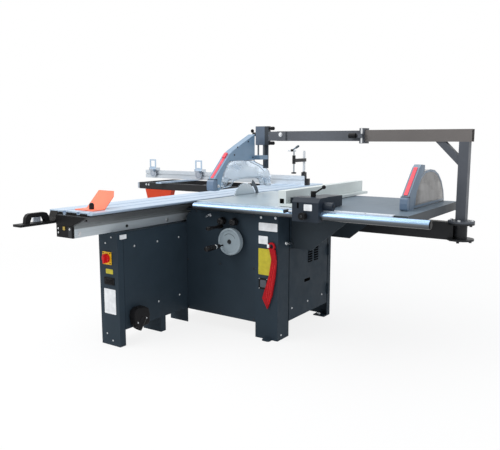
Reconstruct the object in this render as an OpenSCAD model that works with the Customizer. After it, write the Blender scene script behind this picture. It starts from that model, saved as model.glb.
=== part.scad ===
// Sliding table saw, in millimetres.
// +X points right along the front rail, +Y is the feed direction and +Z points up.
// The origin is on the floor, in the middle of the main cabinet's four anchor holes.

/* [Main cabinet] */
// Width of the main cabinet
cab_w = 920; // [900:5:960]
// Depth of the main cabinet
cab_d = 740; // [735:5:780]
// Height of the legs below the panels
leg_h = 100; // [80:5:130]
// Thickness of the cabinet's sheet steel
sheet_t = 4; // [3:0.5:5]
// Width of a right post's face
post_w = 172; // [150:2:190]
// Depth of the front right post's side
post_d = 140; // [130:5:150]
// Width of a left post's face
left_post_w = 88; // [70:2:100]
// Depth of the side of the other posts
rear_post_d = 45; // [40:1:60]
// Distance of the anchor holes from the middle, left and right
anchor_dx = 400; // [380:5:420]
// Distance of the anchor holes from the middle, front and back
anchor_dy = 310; // [290:5:330]
// Radius of an anchor hole
anchor_r = 7; // [5:0.5:9]
// Metal left round an anchor hole
anchor_edge = 30; // [20:1:40]
// Thickness of an anchor tab
anchor_t = 8; // [6:1:12]

/* [Front cabinet] */
// Width of the front cabinet
fcab_w = 165; // [150:5:180]
// Length of the front cabinet
fcab_l = 650; // [600:10:700]
// Length of a foot along the cabinet
foot_l = 48; // [40:2:60]
// Thickness of the side cover
cover_t = 3; // [2:0.5:5]
// Rim left round the side cover
cover_rim = 30; // [20:1:45]

/* [Tables] */
// Height of the tables above the floor
table_h = 880; // [870:5:900]
// Length of the tables along the feed
table_l = 975; // [950:5:1000]
// Overhang of the tables in front of the cabinet
table_front = 25; // [15:1:40]
// Depth of the cast table's rim
rim_h = 60; // [50:1:70]
// Thickness of the cast table's plate
plate_t = 20; // [16:1:22]
// Wall of the cast table's rim and ribs
rim_t = 18; // [12:1:24]
// Width of the extension table
ext_w = 840; // [700:10:900]
// Depth of the extension table's rim
ext_h = 55; // [45:1:60]
// Wall of the extension table
ext_t = 6; // [4:1:10]
// Reach of a table bracket along its lower edge
bracket_reach = 150; // [120:5:200]
// Height of a table bracket
bracket_h = 235; // [200:1:236]

/* [Rail] */
// Radius of the round front rail
rail_r = 25; // [20:1:28]
// Length of the front rail
rail_l = 1600; // [1400:20:1650]
// Distance of the rail's axis from the table's front edge
rail_out = 35; // [34:1:45]
// Distance of the rail's axis below the table's top
rail_drop = 31; // [29:1:36]
// Distance of the rail's left end from the table's left edge
rail_in = 14; // [0:1:40]
// Radius of a rail stud
stud_r = 7; // [5:1:10]

/* [Slide] */
// Length of the fixed slide beam
beam_l = 2662; // [2400:2:3200]
// Width of the slide beam's body
beam_w = 145; // [130:5:160]
// Height of the slide beam
beam_h = 131; // [120:1:134]
// Height of the beam's plain lower band
beam_band = 70; // [50:1:80]
// Distance from the blade to the beam's body
beam_gap = 170; // [165:1:185]
// Distance from the blade to the tip of the beam's flare
flare_gap = 56; // [54:1:70]
// Wall of the beam
beam_wall = 6; // [5:0.5:9]
// Length of the sliding table
deck_l = 2800; // [2400:50:3200]
// Width of the sliding table
deck_w = 381; // [370:1:400]
// Distance from the blade to the sliding table's edge
deck_gap = 26; // [26:1:34]
// Thickness of the sliding table's plate
deck_t = 16; // [14:1:18]
// Thickness of the sliding table's right lip
lip_t = 6; // [5:0.5:7]
// Width of the sliding table's left edge profile
edge_w = 77; // [60:1:80]
// Height of the sliding table's left edge profile
edge_h = 55; // [48:1:60]
// Height of the sliding table's guides
guide_h = 8; // [6:0.5:10]
// Neck width of the T slots
slot_neck = 12; // [10:1:14]
// Head width of the T slots
slot_head = 24; // [20:1:28]

/* [Saw unit] */
// Distance of the blade's plane left of the cabinet's middle
blade_off = 190; // [186:1:194]
// Place of the arbor along the feed
blade_y = 195; // [190:1:198]
// Diameter of the saw blade
blade_d = 315; // [300:1:316]
// Thickness of the saw blade
blade_t = 3.2; // [2.4:0.2:3.6]
// Number of teeth
blade_teeth = 48; // [24:2:60]
// Distance of the arbor below the table's top
arbor_drop = 65; // [64:1:68]
// Radius of the arbor
arbor_r = 15; // [12:1:16]
// Radius of the blade flanges
flange_r = 35; // [30:1:36]
// Radius of the arbor's bearing housing
housing_r = 36; // [32:1:38]
// Radius of the lift guide rods
guide_r = 15; // [12:1:16]
// Radius of the trunnions' running face
trunnion_r = 300; // [295:1:304]
// Radius of the motor
motor_r = 85; // [75:1:88]
// Length of the motor
motor_l = 215; // [180:5:220]
// Distance of the motor's axis below the table's top
motor_drop = 300; // [298:1:310]
// Diameter of the scoring blade
scoring_d = 120; // [100:1:122]

/* [Controls] */
// Radius of the handwheel
wheel_r = 89; // [75:1:92]
// Place of the handwheel right of the cabinet's middle
wheel_x = 116; // [105:1:130]
// Distance of the handwheel's axis below the table's top
wheel_drop = 251; // [246:1:260]
// Radius of the control shafts
shaft_r = 9; // [7:1:11]
// Radius of the scoring knobs
knob_r = 26; // [22:1:27]

/* [Rip fence] */
// Length of the rip fence bar
bar_l = 1143; // [1000:10:1160]
// Width of the bar's tall wall
bar_w = 56; // [45:1:60]
// Height of the bar
bar_h = 97; // [80:1:100]
// Width of the bar's low flange
flange_w = 45; // [35:1:60]
// Distance of the bar's face right of the cabinet's middle
fence_x = 470; // [465:1:480]
// Width of the fence body
body_w = 176; // [150:2:190]
// Length of the fence body
body_l = 349; // [320:2:360]
// Height of the fence body
body_h = 141; // [136:1:146]

/* [Overhead arm] */
// Height of the support beam's tube
sup_h = 116; // [100:2:130]
// Width of the support beam's tube
sup_w = 70; // [60:2:80]
// Distance of the support beam's underside below the table's top
sup_drop = 235; // [220:5:250]
// Distance of the post's axis right of the cabinet's middle
post_x = 1375; // [1370:1:1400]
// Side of the post and width of the outer arm tube
tube_w = 62; // [58:1:66]
// Height of the outer arm tube
tube_h = 80; // [74:1:84]
// Height of the arm's axis above the table's top
arm_rise = 440; // [430:1:450]
// Length of the outer arm tube
arm_l = 720; // [650:10:760]
// Wall of the tubes
tube_t = 3; // [2.5:0.5:4]
// Diameter of the flanges
flange_d = 168; // [150:2:180]

/* [Hood] */
// Width of the saw hood
hood_w = 56; // [54:1:64]
// Wall of the hood
hood_t = 4; // [3:0.5:5]
// Length of the hood's grey shell
hood_l = 518; // [505:1:525]
// Height of the hood's grey shell
hood_h = 394; // [386:1:400]
// Radius of the hood's two hanger rods
rod_r = 7; // [6:0.5:9]
// Length of the spare hood
spare_l = 735; // [680:5:760]
// Height of the spare hood
spare_h = 264; // [240:2:280]
// Width of the spare hood
spare_w = 44; // [40:1:60]

/* [Outrigger] */
// Length of the outrigger frame, sideways
out_l = 1450; // [1300:10:1500]
// Depth of the outrigger frame, along the feed
out_d = 520; // [460:10:560]
// Side of the outrigger's tubes
out_tube = 40; // [30:1:45]
// Length of the crosscut fence
cross_l = 2012; // [1700:2:2100]
// Height of the crosscut fence
cross_h = 84; // [70:1:90]
// Depth of the crosscut fence
cross_d = 40; // [30:1:50]
// Height of the hold-down clamp's column
clamp_h = 229; // [210:1:250]
// Reach of the hold-down clamp
clamp_reach = 186; // [150:1:200]
// Length of the swing arm's fixed length tube
swing_l = 900; // [800:10:1000]
// Length that the extension stands out of the swing arm
swing_out = 528; // [400:2:560]

/* [Hidden] */
// Number of sides of round faces
$fn = 48;
// Overrun of every cut
over = 1;
// Clearance between faces that slide
fit = 0.3;
// Radial clearance of a running fit
run = 0.1;

// Main reference places
left = -cab_w / 2;
right = cab_w / 2;
front = -cab_d / 2;
back = cab_d / 2;
blade_x = -blade_off;
cab_top = table_h - rim_h;
fcab_h = table_h - deck_t - guide_h - beam_h;
blade_z = table_h - arbor_drop;
slot_right = 10;
main_x0 = blade_x + slot_right;
main_x1 = right;
ext_x1 = main_x1 + ext_w;
table_y0 = front - table_front;
table_y1 = table_y0 + table_l;
fcab_x1 = left + fcab_w;
fcab_y0 = front - fcab_l;
panel_x1 = right - post_w;

// Cabinet sheet work
top_lip = 30;
top_lip_t = 8;
rear_lip = 14;
corner_cut = 55;
notch_drop = 240;
notch_z = table_h - notch_drop;
notch_right = 40;
notch_x = blade_x + notch_right;
door_gap = 3;
knuckle_r = 7;
knuckle_l = 40;
pin_r = 3;
hinge_y = back - rear_post_d - knuckle_r;
hinge_x = right + knuckle_r;
hinge_drop_shares = [0.22, 0.82];
leaf_w = 26;
leaf_t = 2;
door_z0 = leg_h + door_gap;
side_drop = 292;
side_z = table_h - side_drop;
door_z1 = side_z - door_gap;
door_y0 = front + post_d + door_gap;
door_y1 = hinge_y - pin_r;
louvre_rows = 6;
louvre_l = 64;
louvre_h = 6;
louvre_pitch = 17;
louvre_gap = 22;
louvre_share = 0.60;
louvre_drop = 123;
grip_shares = [0.45, 0.481];
grip_slot_l = 84;
grip_slot_h = 22;
foot_step = 5;
foot_gap = leg_h + foot_step;
rear_foot_in = 280;
rear_foot_y = front - rear_foot_in;
bracket_run = 287;
bracket_back = 165;

// Front cabinet fittings
face_in = 9;
face_x = (left + fcab_x1) / 2 - face_in;
plate_w = 75;
plate_h = 80;
plate_d = 6;
switch_drop = 162;
switch_z = fcab_h - switch_drop;
switch_r = 29;
switch_l = 30;
switch_bar = 12;
vent_w = 78;
vent_h = 74;
vent_d = 8;
vent_drop = 295;
vent_z = fcab_h - vent_drop;
vent_slots = 4;
vent_slot_h = 6;
inlet_in = 155;
inlet_y = fcab_y0 + inlet_in;
inlet_z = 165;
inlet_w = 80;
inlet_h = 96;
inlet_d = 52;
socket_r = 29;
socket_l = 80;
socket_tilt = 38;

// Rail
rail_x0 = main_x0 + rail_in;
rail_x1 = rail_x0 + rail_l;
rail_y = table_y0 - rail_out;
rail_z = table_h - rail_drop;
strip_t = 6;
strip_h = 40;
strip_out = 14;
strip_drop = 2;
strip_z1 = rail_z + rail_r - strip_drop;
strip_end = 80;
studs = 6;
stud_inset = 60;

// Slide
beam_x1 = blade_x - beam_gap;
beam_x0 = beam_x1 - beam_w;
beam_z0 = fcab_h;
beam_z1 = beam_z0 + beam_h;
beam_tip = blade_x - flare_gap;
beam_mid = 33;
beam_y0 = beam_mid - beam_l / 2;
beam_y1 = beam_mid + beam_l / 2;
cap_t = 12;
deck_x1 = blade_x - deck_gap;
deck_x0 = deck_x1 - deck_w;
deck_mid = 130;
deck_y0 = deck_mid - deck_l / 2;
deck_y1 = deck_mid + deck_l / 2;
deck_z0 = table_h - deck_t;
guide_w = 26;
slot_neck_d = 5;
slot_head_d = 6;
deck_slot_shares = [0.36, 0.68];

// Push handle on the sliding table
handle_w = 70;
handle_l = 236;
handle_t = 14;
handle_drop = 62;
handle_gap = 20;
arch_w = 26;
arch_h = 56;
arch_l = 165;
arch_t = 24;
arch_in = 47;
arch_foot = 30;
arch_head = 44;
arch_outline = [[0, -over], [arch_l, -over], [arch_l - arch_t / 4, 3 * arch_h / 5],
    [arch_l - 3 * arch_t / 4, 9 * arch_h / 10], [arch_l - 3 * arch_t / 2, arch_h], [3 * arch_t / 2, arch_h],
    [3 * arch_t / 4, 9 * arch_h / 10], [arch_t / 4, 3 * arch_h / 5]];
arch_hole = [[arch_foot, 0], [arch_l - arch_foot, 0], [arch_l - arch_head, arch_h - arch_t],
    [arch_head, arch_h - arch_t]];

// Edging shoe
shoe_in = 145;
shoe_x = deck_x1 - shoe_in;
shoe_w = 160;
shoe_base = 83;
shoe_t = 6;
shoe_rise = 105;
shoe_lean = 45;
shoe_back = 60;
shoe_y = deck_y0 + shoe_back;
shoe_knob_r = 15;
shoe_knob_h = 30;

// Saw unit, measured from the blade's plane and the table's top
flange_t = 7;
nut_t = 4;
nut_r = 18;
housing_x0 = 15;
plate_x = 78;
carriage_t = 20;
carriage_x1 = plate_x + carriage_t;
carriage_half = 80;
guide_x = 60;
guide_dy = 105;
boss_wall = 9;
boss_z0 = -160;
boss_z1 = -115;
carriage_z0 = -330;
carriage_z1 = -42;
pulley_gap = 10;
pulley_x0 = carriage_x1 + pulley_gap;
pulley_w = 24;
pulley_x1 = pulley_x0 + pulley_w;
motor_gap = 8;
motor_x0 = pulley_x1 + motor_gap;
motor_plate_t = 12;
motor_arm_t = 12;
motor_arm_dy = 72;
arbor_pulley_r = 30;
motor_pulley_r = 40;
motor_shaft_r = 14;
motor_shaft_in = 40;
belt_t = 4;
belt_w = 20;
fin_n = 18;
fin_h = 5;
fin_t = 4;
fan_l = 40;
end_t = 22;
front_end_y = -40;
rear_end_y = 333;
pie_r0 = 70;
pie_top_angle = 18;
pie_end_angle = 70;
pie_hole_r = 30;
pie_hole_share = 0.68;
trunnion_w = 42;
trunnion_angle = 118;
arm_w = 40;
arm_x1 = 116;
arm_h = 20;
upper_arm_z = -95;
lower_arm_z = -285;
bar_angle = 31;
bar_r = 235;
bar_side = 44;
knife_t = 2.8;
knife_gap = 8;
knife_w = 35;
knife_start_angle = -10;
knife_end_angle = 58;
knife_arm_x0 = 12;
knife_arm_x1 = 20;
knife_arm_z = [-100, -75];
knife_arm_gap = 3;
knife_y1 = back - sheet_t - knife_arm_gap;
tooth_h = 9;
tooth_shares = [0.12, 0.55, 0.9];
scoring_t = 2.8;
scoring_lead = 36;
scoring_y = front_end_y - scoring_lead;
scoring_rise = 2;
scoring_z = scoring_rise - scoring_d / 2;
scoring_body_r = 24;
scoring_body_x = [3, 100];
scoring_pad_x = [36, 90];
scoring_pad_z = [-85, -62];
scoring_shaft_r = 6;
scoring_shaft_l = 50;
scoring_teeth = 24;

// Controls on the front panel
wheel_t = 30;
wheel_gap = 22;
wheel_rim = 16;
wheel_web = 10;
wheel_hub_r = 24;
shaft_l = 120;
wheel_y1 = front - wheel_gap;
grip_at = [-53, -28];
grip_stud_r = 5;
grip_stud_l = 40;
grip_r = 14;
grip_l = 140;
wheel_z = table_h - wheel_drop;
crank_in = 101;
crank_drop = 161;
crank_x = wheel_x - crank_in;
crank_z = table_h - crank_drop;
crank_hub_r = 14;
crank_hub_l = 34;
crank_grip_r = 10;
crank_grip_l = 124;
crank_pin_r = 4;
crank_pin_l = 17;
knob_offsets = [-79, 19];
knob_drop = 121;
knob_xs = [wheel_x + knob_offsets[0], wheel_x + knob_offsets[1]];
knob_z = table_h - knob_drop;
knob_l = 40;
knob_gap = 10;
knob_lobes = 7;
knob_lobe_r = 4;

// Rip fence
bar_x1 = fence_x + bar_w;
bar_rise = 4;
bar_z0 = table_h + bar_rise;
bar_z1 = bar_z0 + bar_h;
bar_in = 9;
bar_y0 = table_y0 + bar_in;
bar_wall = 4;
flange_h = 18;
body_gap = 52;
body_x0 = bar_x1 + flange_w + body_gap;
body_x1 = body_x0 + body_w;
body_under = 10;
body_z0 = rail_z - rail_r - body_under;
body_z1 = body_z0 + body_h;
body_ahead = 25;
body_y0 = rail_y - rail_r - body_ahead;
body_y1 = body_y0 + body_l;
body_wrap = 18;
body_cut_y = rail_y + body_wrap;
body_nose = 26;
tail_in = 34;
tail_drop = 6;
head_back = 96;
head_l = 140;
head_y = [rail_y + head_back, rail_y + head_back + head_l];
head_h = 34;
lever_x_share = 0.52;
lever_y_share = 0.27;
lever_hub_r = 16;
lever_hub_h = 34;
lever_rod_r = 5;
lever_rod_l = 82;
lever_rise = 32;
lever_knob_r = 12;
lever_pin_r = 8;
lever_pin_l = 24;
clamp_rod_r = 6;
clamp_rod_l = 50;
clamp_grip_r = 10;
clamp_grip_l = 40;
clamp_y_share = 0.0344;
clamp_z_share = 0.40;
front_knob_r = 22;
front_knob_l = 34;
front_knob_shares = [0.466, 0.25];
side_knob_r = 24;
side_knob_l = 62;
side_knob_shares = [0.20, 0.65];
pin_l = 30;

// Overhead arm
sup_z = table_h - sup_drop;
sup_x0 = -50;
sup_gap = 10;
sup_x1 = post_x - tube_w / 2 - sup_gap;
sup_y0 = back;
arm_y = sup_y0 + sup_w / 2;
sup_z1 = sup_z + sup_h;
stub_r = 40;
flange_t2 = 12;
flange_bolt_r = 9;
flange_bolt_d = 124;
stub_web = 20;
arm_over = 15;
arm_x1_end = post_x + tube_w / 2 + arm_over;
arm_x0_end = arm_x1_end - arm_l;
arm_z = table_h + arm_rise;
arm_z0 = arm_z - tube_h / 2;
arm_z1 = arm_z + tube_h / 2;
arm_fit = 0.5;
inner_w = tube_w - 2 * tube_t - 2 * arm_fit;
inner_h = tube_h - 2 * tube_t - 2 * arm_fit;
brace_leg = 150;
brace_t = 62;
brace_w = 50;
inner_x0 = -18;
inner_in = 300;
lug_l = 70;
lug_t = 12;
lug_h = 70;
lug_in = 83;
collar_l = 34;
collar_t = 13;
lock_r = 18;
lock_l = 50;
lock_neck = 20;
lock_gap = 13;
lock_ear = 14;
lock_stud_r = 6;
lock_y = arm_y - inner_w / 2 - lock_r - lock_gap;

// Hood, with its outline as shares of the shell's length and height
hood_gap = 117;
hood_y1 = arm_y - hood_gap;
hood_y0 = hood_y1 - hood_l;
hood_rise = 60;
hood_z0 = table_h + hood_rise;
shell_shares = [[0.035, 0.213], [0.376, 0.64], [0.483, 0.711], [0.678, 0.822], [0.888, 0.939], [1, 1],
    [1, 0.505], [0.386, 0.513], [0.29, 0.431], [0.212, 0.279], [0.162, 0.05], [0.135, -0.015], [0.03, -0.015],
    [0, 0.02]];
rear_share = 0.985;
stripe_shares = [shell_shares[0], shell_shares[1]];
stripe_t = 3;
stripe_w = 22;
button_l = 46;
button_w = 24;
button_t = 12;
window_fit = 0.3;
window_t = 3;
window_shares = [[0.154, 0], [0.197, 0.234], [0.309, 0.437], [0.378, 0.533], [0.965, 0.533], [0.983, 0.5],
    [1.035, 0.47], [1.263, 0.381], [1.405, 0.272], [1.456, 0.15], [1.456, -0.036], [1.303, -0.025],
    [1.226, 0.157], [0.502, 0.157], [0.405, 0.028]];
rod_dx = 25;
rod_off = 23;
rod_x = blade_x + rod_off;
rod_ahead = 22;
rod_y = arm_y - rod_ahead;
rod_drop = 12;
rod_z1 = arm_z - rod_drop;
lug_rise = 202;
lug_tall = 32;
lug_z = [hood_z0 + lug_rise, hood_z0 + lug_rise + lug_tall];
lug_wall = 7;
block_left = 16;
block_edges = [-18, 15];
block_y = [rod_y + block_edges[0], rod_y + block_edges[1]];
block_reach = [-68, 76];
block_z = [arm_z + block_reach[0], arm_z + block_reach[1]];
hang_t = 10;
hang_w = 46;
hang_side = 2;
hang_low = 70;
hang_gap = 3;
hang_x0 = blade_x + hood_w / 2 + hang_side;
hang_knob_r = 15;
hang_knob_l = 34;

// Spare hood, with its outline as shares of its length and height
spare_in = 106;
spare_x = ext_x1 - spare_in;
spare_back = 220;
spare_y0 = table_y0 + spare_back;
spare_shell_shares = [[0, 0.02], [0, 0.24], [0.04, 0.34], [0.26, 0.93], [0.31, 1], [0.40, 0.98], [0.40, 0.86],
    [0.31, 0.72], [0.20, 0.40], [0.16, 0.10], [0.16, 0], [0.03, 0]];
spare_stripe_shares = [[0.04, 0.34], [0.26, 0.93]];
spare_window_shares = [[0.17, 0.01], [0.21, 0.40], [0.315, 0.70], [0.43, 0.84], [0.56, 0.86], [0.68, 0.83],
    [0.80, 0.72], [0.90, 0.52], [0.97, 0.26], [1, 0]];
spare_t = 4;

// Outrigger and crosscut fence
out_x1 = deck_x0;
out_x0 = out_x1 - out_l;
out_y0 = 930;
out_y1 = out_y0 + out_d;
out_drop = 22;
out_z1 = table_h - out_drop;
out_h = 66;
out_z0 = out_z1 - out_h;
out_wall = 3;
out_post_share = 0.55;
out_bar_w = 70;
out_bar_h = 14;
out_bar_share = 0.20;
out_bar_over = 60;
cross_gap = 76;
cross_x1 = blade_x - cross_gap;
cross_x0 = cross_x1 - cross_l;
cross_y = 1262;
cross_wall = 4;
cross_end = 34;
cross_cap_h = 60;
stop_shares = [0.04, 0.36];
stop_w = 88;
stop_h = 105;
stop_t = 8;
stop_loop = 64;
stop_rim = 14;
stop_block_h = 28;
stop_ear = 10;
stop_gap = 2;
stop_out = 12;
stop_knuckle_r = 9;
stop_pin_r = 5;
stop_pin_z = table_h + cross_h + stop_block_h / 2;
clamp_gap = 94;
clamp_x = blade_x - clamp_gap;
clamp_y = cross_y + cross_d / 2;
clamp_z = table_h + cross_h;
column_r = 12;
clamp_foot_w = 36;
clamp_foot_h = 34;
clamp_arm_h = 30;
clamp_arm_w = 30;
clamp_arm_drop = 98;
spindle_r = 7;
spindle_l = 150;
spindle_up = 46;
pad_r = 22;
pad_h = 12;
spindle_bar_r = 5;
spindle_bar_l = 60;

// Swing arm under the outrigger
pivot_out = 62;
pivot_x = left - pivot_out;
pivot_in = 42;
pivot_y = back - pivot_in;
pivot_r = 12;
pivot_wall = 12;
pivot_low = 280;
pivot_high = 180;
pivot_z = [table_h - pivot_low, table_h - pivot_high];
pivot_plate_t = 14;
swing_angle = 153.6;
swing_w = 60;
swing_h = 70;
swing_t = 4;
swing_inner_gap = 1;
head_top_l = 357;
head_low_l = 290;
head_t = 60;
head_gap = 1;
head_z1 = out_z0 - head_gap;
ext_in = 420;

// Push stick on the front right post
stick_in = 42;
stick_x = right - stick_in;
stick_drop = 258;
stick_z = table_h - stick_drop;
stick_t = 12;
stick_l = 400;
stick_w = 62;
stick_gap = 4;
hook_r = 4;
ring_r = 26;
ring_hole_r = 15;
stick_shares = [[-0.27, -0.035], [0.435, -0.048], [0.61, -0.24], [0.48, -0.47], [0.10, -0.80], [-0.45, -1.03],
    [-1.08, -0.865], [-0.69, -0.68], [-0.27, -0.48], [0.02, -0.21]];

// A box between three pairs of limits
module slab(x, y, z) {
    translate([x[0], y[0], z[0]]) cube([x[1] - x[0], y[1] - y[0], z[1] - z[0]]);
}

// Round bars along the axes
module rod_along_x(x, y, z, r) {
    translate([x[0], y, z]) rotate([0, 90, 0]) cylinder(h = x[1] - x[0], r = r);
}

module rod_along_y(x, y, z, r) {
    translate([x, y[1], z]) rotate([90, 0, 0]) cylinder(h = y[1] - y[0], r = r);
}

module rod_along_z(x, y, z, r) {
    translate([x, y, z[0]]) cylinder(h = z[1] - z[0], r = r);
}

// A flat outline in Y and Z, drawn out along X
module prism_x(x, points) {
    translate([x[0], 0, 0]) rotate([90, 0, 90]) linear_extrude(x[1] - x[0]) polygon(points);
}

// A flat outline in X and Z, drawn out along Y
module prism_y(y, points) {
    translate([0, y[1], 0]) rotate([90, 0, 0]) linear_extrude(y[1] - y[0]) polygon(points);
}

// A square tube between three pairs of limits, open along one axis
module tube_x(x, y, z, t) {
    difference() {
        slab(x, y, z);
        slab([x[0] - over, x[1] + over], [y[0] + t, y[1] - t], [z[0] + t, z[1] - t]);
    }
}

module tube_y(x, y, z, t) {
    difference() {
        slab(x, y, z);
        slab([x[0] + t, x[1] - t], [y[0] - over, y[1] + over], [z[0] + t, z[1] - t]);
    }
}

// Outline points from shares of a length and a height
function spread(shares, y0, z0, l, h) = [for (s = shares) [y0 + s[0] * l, z0 + s[1] * h]];
// Points on an arc, with angles from the first axis
function arc(r, a0, a1, n) = [for (i = [0 : n]) r * [cos(a0 + (a1 - a0) * i / n),
    sin(a0 + (a1 - a0) * i / n)]];
// The unit normal to the left of a line between two points
function normal(a, b) = [a[1] - b[1], b[0] - a[0]] / norm(b - a);

// One folded corner post, its outer corner at the origin
module post(w, d, h) {
    difference() {
        union() {
            linear_extrude(h) polygon([[0, 0], [w, 0], [w, sheet_t], [sheet_t, sheet_t], [sheet_t, d],
                [0, d]]);
            cube([right - anchor_dx + anchor_edge, back - anchor_dy + anchor_edge, anchor_t]);
        }
        translate([right - anchor_dx, back - anchor_dy, -over]) cylinder(h = anchor_t + 2 * over,
            r = anchor_r);
    }
}

function hinge_z(i) = door_z0 + hinge_drop_shares[i] * (door_z1 - door_z0);

// The fixed half of a door hinge
module hinge_half(z) {
    slab([right, right + leaf_t], [hinge_y + knuckle_r + fit, hinge_y + leaf_w], [z - knuckle_l,
        z + knuckle_l]);
    for (k = [[z - knuckle_l + fit, z - knuckle_l / 2 - fit], [z + knuckle_l / 2 + fit,
        z + knuckle_l - fit]]) {
        rod_along_z(hinge_x, hinge_y, k, knuckle_r);
        slab([right, right + leaf_t], [hinge_y, hinge_y + leaf_w], k);
    }
    rod_along_z(hinge_x, hinge_y, [z - knuckle_l, z + knuckle_l], pin_r);
}

module cabinet_frame() {
    color([0.18, 0.22, 0.26]) {
        translate([right, front, 0]) mirror([1, 0, 0]) post(post_w, post_d, cab_top);
        translate([right, back, 0]) rotate(180) post(post_w, rear_post_d, cab_top);
        translate([left, front, 0]) post(fcab_w, rear_post_d, fcab_h);
        translate([left, back, 0]) mirror([0, 1, 0]) post(left_post_w, rear_post_d, fcab_h);
        slab([left + sheet_t, right - sheet_t], [front + sheet_t, back - sheet_t], [leg_h, leg_h + sheet_t]);
        slab([fcab_x1, right - sheet_t], [front + sheet_t, front + top_lip], [cab_top - top_lip_t, cab_top]);
        slab([notch_x, right - sheet_t], [back - rear_lip, back - sheet_t], [cab_top - top_lip_t, cab_top]);
        for (i = [0 : len(hinge_drop_shares) - 1]) {
            hinge_half(hinge_z(i));
        }
        swing_bracket();
        rod_along_y(stick_x, [front - stick_gap - stick_t - hook_r, front],
            stick_z + ring_hole_r - hook_r - run, hook_r);
    }
}

// The fixed panels between the posts: front with its shaft holes, rear with a notch for the knife, left,
// and the right side above the door
module cabinet_panels() {
    color([0.17, 0.21, 0.25]) {
        difference() {
            prism_y([front, front + sheet_t], [[fcab_x1, leg_h], [panel_x1, leg_h], [panel_x1, cab_top],
                [fcab_x1 + corner_cut, cab_top], [fcab_x1, cab_top - corner_cut]]);
            panel_hole(wheel_x, wheel_z);
            panel_hole(crank_x, crank_z);
            panel_hole(knob_xs[0], knob_z);
            panel_hole(knob_xs[1], knob_z);
        }
        prism_y([back - sheet_t, back], [[left + left_post_w, leg_h], [panel_x1, leg_h], [panel_x1, cab_top],
            [notch_x, cab_top], [notch_x, notch_z], [left + left_post_w, notch_z]]);
        slab([left, left + sheet_t], [front + rear_post_d, back - rear_post_d], [leg_h, fcab_h]);
        slab([right - sheet_t, right], [front + post_d, back - rear_post_d], [side_z, cab_top]);
    }
}

module panel_hole(x, z) {
    rod_along_y(x, [front - over, front + sheet_t + over], z, shaft_r + run);
}

// A slot with round ends through the door
module door_slot(y, z, l, h) {
    slab([right - sheet_t - over, right + over], [y - l / 2 + h / 2, y + l / 2 - h / 2], [z - h / 2,
        z + h / 2]);
    for (s = [-1, 1]) {
        rod_along_x([right - sheet_t - over, right + over], y + s * (l - h) / 2, z, h / 2);
    }
}

module side_door() {
    door_l = door_y1 - door_y0;
    door_h = door_z1 - door_z0;
    color([0.18, 0.22, 0.26]) difference() {
        union() {
            slab([right - sheet_t, right], [door_y0, door_y1], [door_z0, door_z1]);
            for (i = [0 : len(hinge_drop_shares) - 1]) {
                rod_along_z(hinge_x, hinge_y, [hinge_z(i) - knuckle_l / 2 + fit,
                    hinge_z(i) + knuckle_l / 2 - fit],
                    knuckle_r);
                slab([right, right + leaf_t], [hinge_y - leaf_w, hinge_y - pin_r - fit],
                    [hinge_z(i) - knuckle_l / 2 + fit, hinge_z(i) + knuckle_l / 2 - fit]);
            }
        }
        for (i = [0 : len(hinge_drop_shares) - 1]) {
            rod_along_z(hinge_x, hinge_y, [hinge_z(i) - knuckle_l, hinge_z(i) + knuckle_l], pin_r + run);
        }
        for (c = [-1, 1], i = [0 : louvre_rows - 1]) {
            door_slot(door_y0 + louvre_share * door_l + c * (louvre_l + louvre_gap) / 2,
                door_z1 - louvre_drop + i * louvre_pitch, louvre_l, louvre_h);
        }
        door_slot(door_y0 + grip_shares[0] * door_l, door_z0 + grip_shares[1] * door_h, grip_slot_l,
            grip_slot_h);
    }
}

// A folded foot across the front cabinet
module cabinet_foot(y0, y1) {
    slab([left, fcab_x1], [y0, y0 + sheet_t], [0, foot_gap]);
    slab([left, left + sheet_t], [y0, y1], [0, foot_gap]);
    slab([fcab_x1 - sheet_t, fcab_x1], [y0, y1], [0, foot_gap]);
}

module front_cabinet() {
    color([0.18, 0.22, 0.26]) {
        difference() {
            slab([left, fcab_x1], [fcab_y0, front], [foot_gap, fcab_h]);
            slab([left + sheet_t, fcab_x1 - sheet_t], [fcab_y0 + sheet_t, front - sheet_t],
                [foot_gap + sheet_t, fcab_h - sheet_t]);
            slab([fcab_x1 - sheet_t - over, fcab_x1 + over], [fcab_y0 + foot_l + cover_rim,
                front - 2 * cover_rim],
                [foot_gap + 2 * cover_rim, fcab_h - 2 * cover_rim]);
        }
        cabinet_foot(fcab_y0, fcab_y0 + foot_l);
        cabinet_foot(rear_foot_y, rear_foot_y + foot_l);
    }
}

module front_cabinet_cover() {
    color([0.17, 0.21, 0.25]) slab([fcab_x1, fcab_x1 + cover_t], [fcab_y0 + foot_l, front - door_gap],
        [foot_gap, fcab_h - door_gap]);
}

module power_inlet() {
    x0 = fcab_x1 + cover_t;
    color([0.05, 0.05, 0.05]) {
        slab([x0, x0 + inlet_d], [inlet_y - inlet_w / 2, inlet_y + inlet_w / 2], [inlet_z - inlet_h / 2,
            inlet_z + inlet_h / 2]);
        translate([x0 + inlet_d / 2 + socket_r / 2, inlet_y, inlet_z]) rotate([180 - socket_tilt, 0, 0])
            difference() {
                cylinder(h = socket_l, r = socket_r);
                translate([0, 0, socket_l / 2]) cylinder(h = socket_l, r = socket_r - sheet_t);
            }
    }
}

module vent_grille() {
    color([0.04, 0.04, 0.04]) difference() {
        slab([face_x - vent_w / 2, face_x + vent_w / 2], [fcab_y0 - vent_d, fcab_y0], [vent_z - vent_h / 2,
            vent_z + vent_h / 2]);
        for (i = [1 : vent_slots]) {
            slab([face_x - vent_w / 3, face_x + vent_w / 3], [fcab_y0 - vent_d - over, fcab_y0 - vent_d / 2],
                [vent_z - vent_h / 2 + i * vent_h / (vent_slots + 1) - vent_slot_h / 2,
                vent_z - vent_h / 2 + i * vent_h / (vent_slots + 1) + vent_slot_h / 2]);
        }
    }
}

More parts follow.
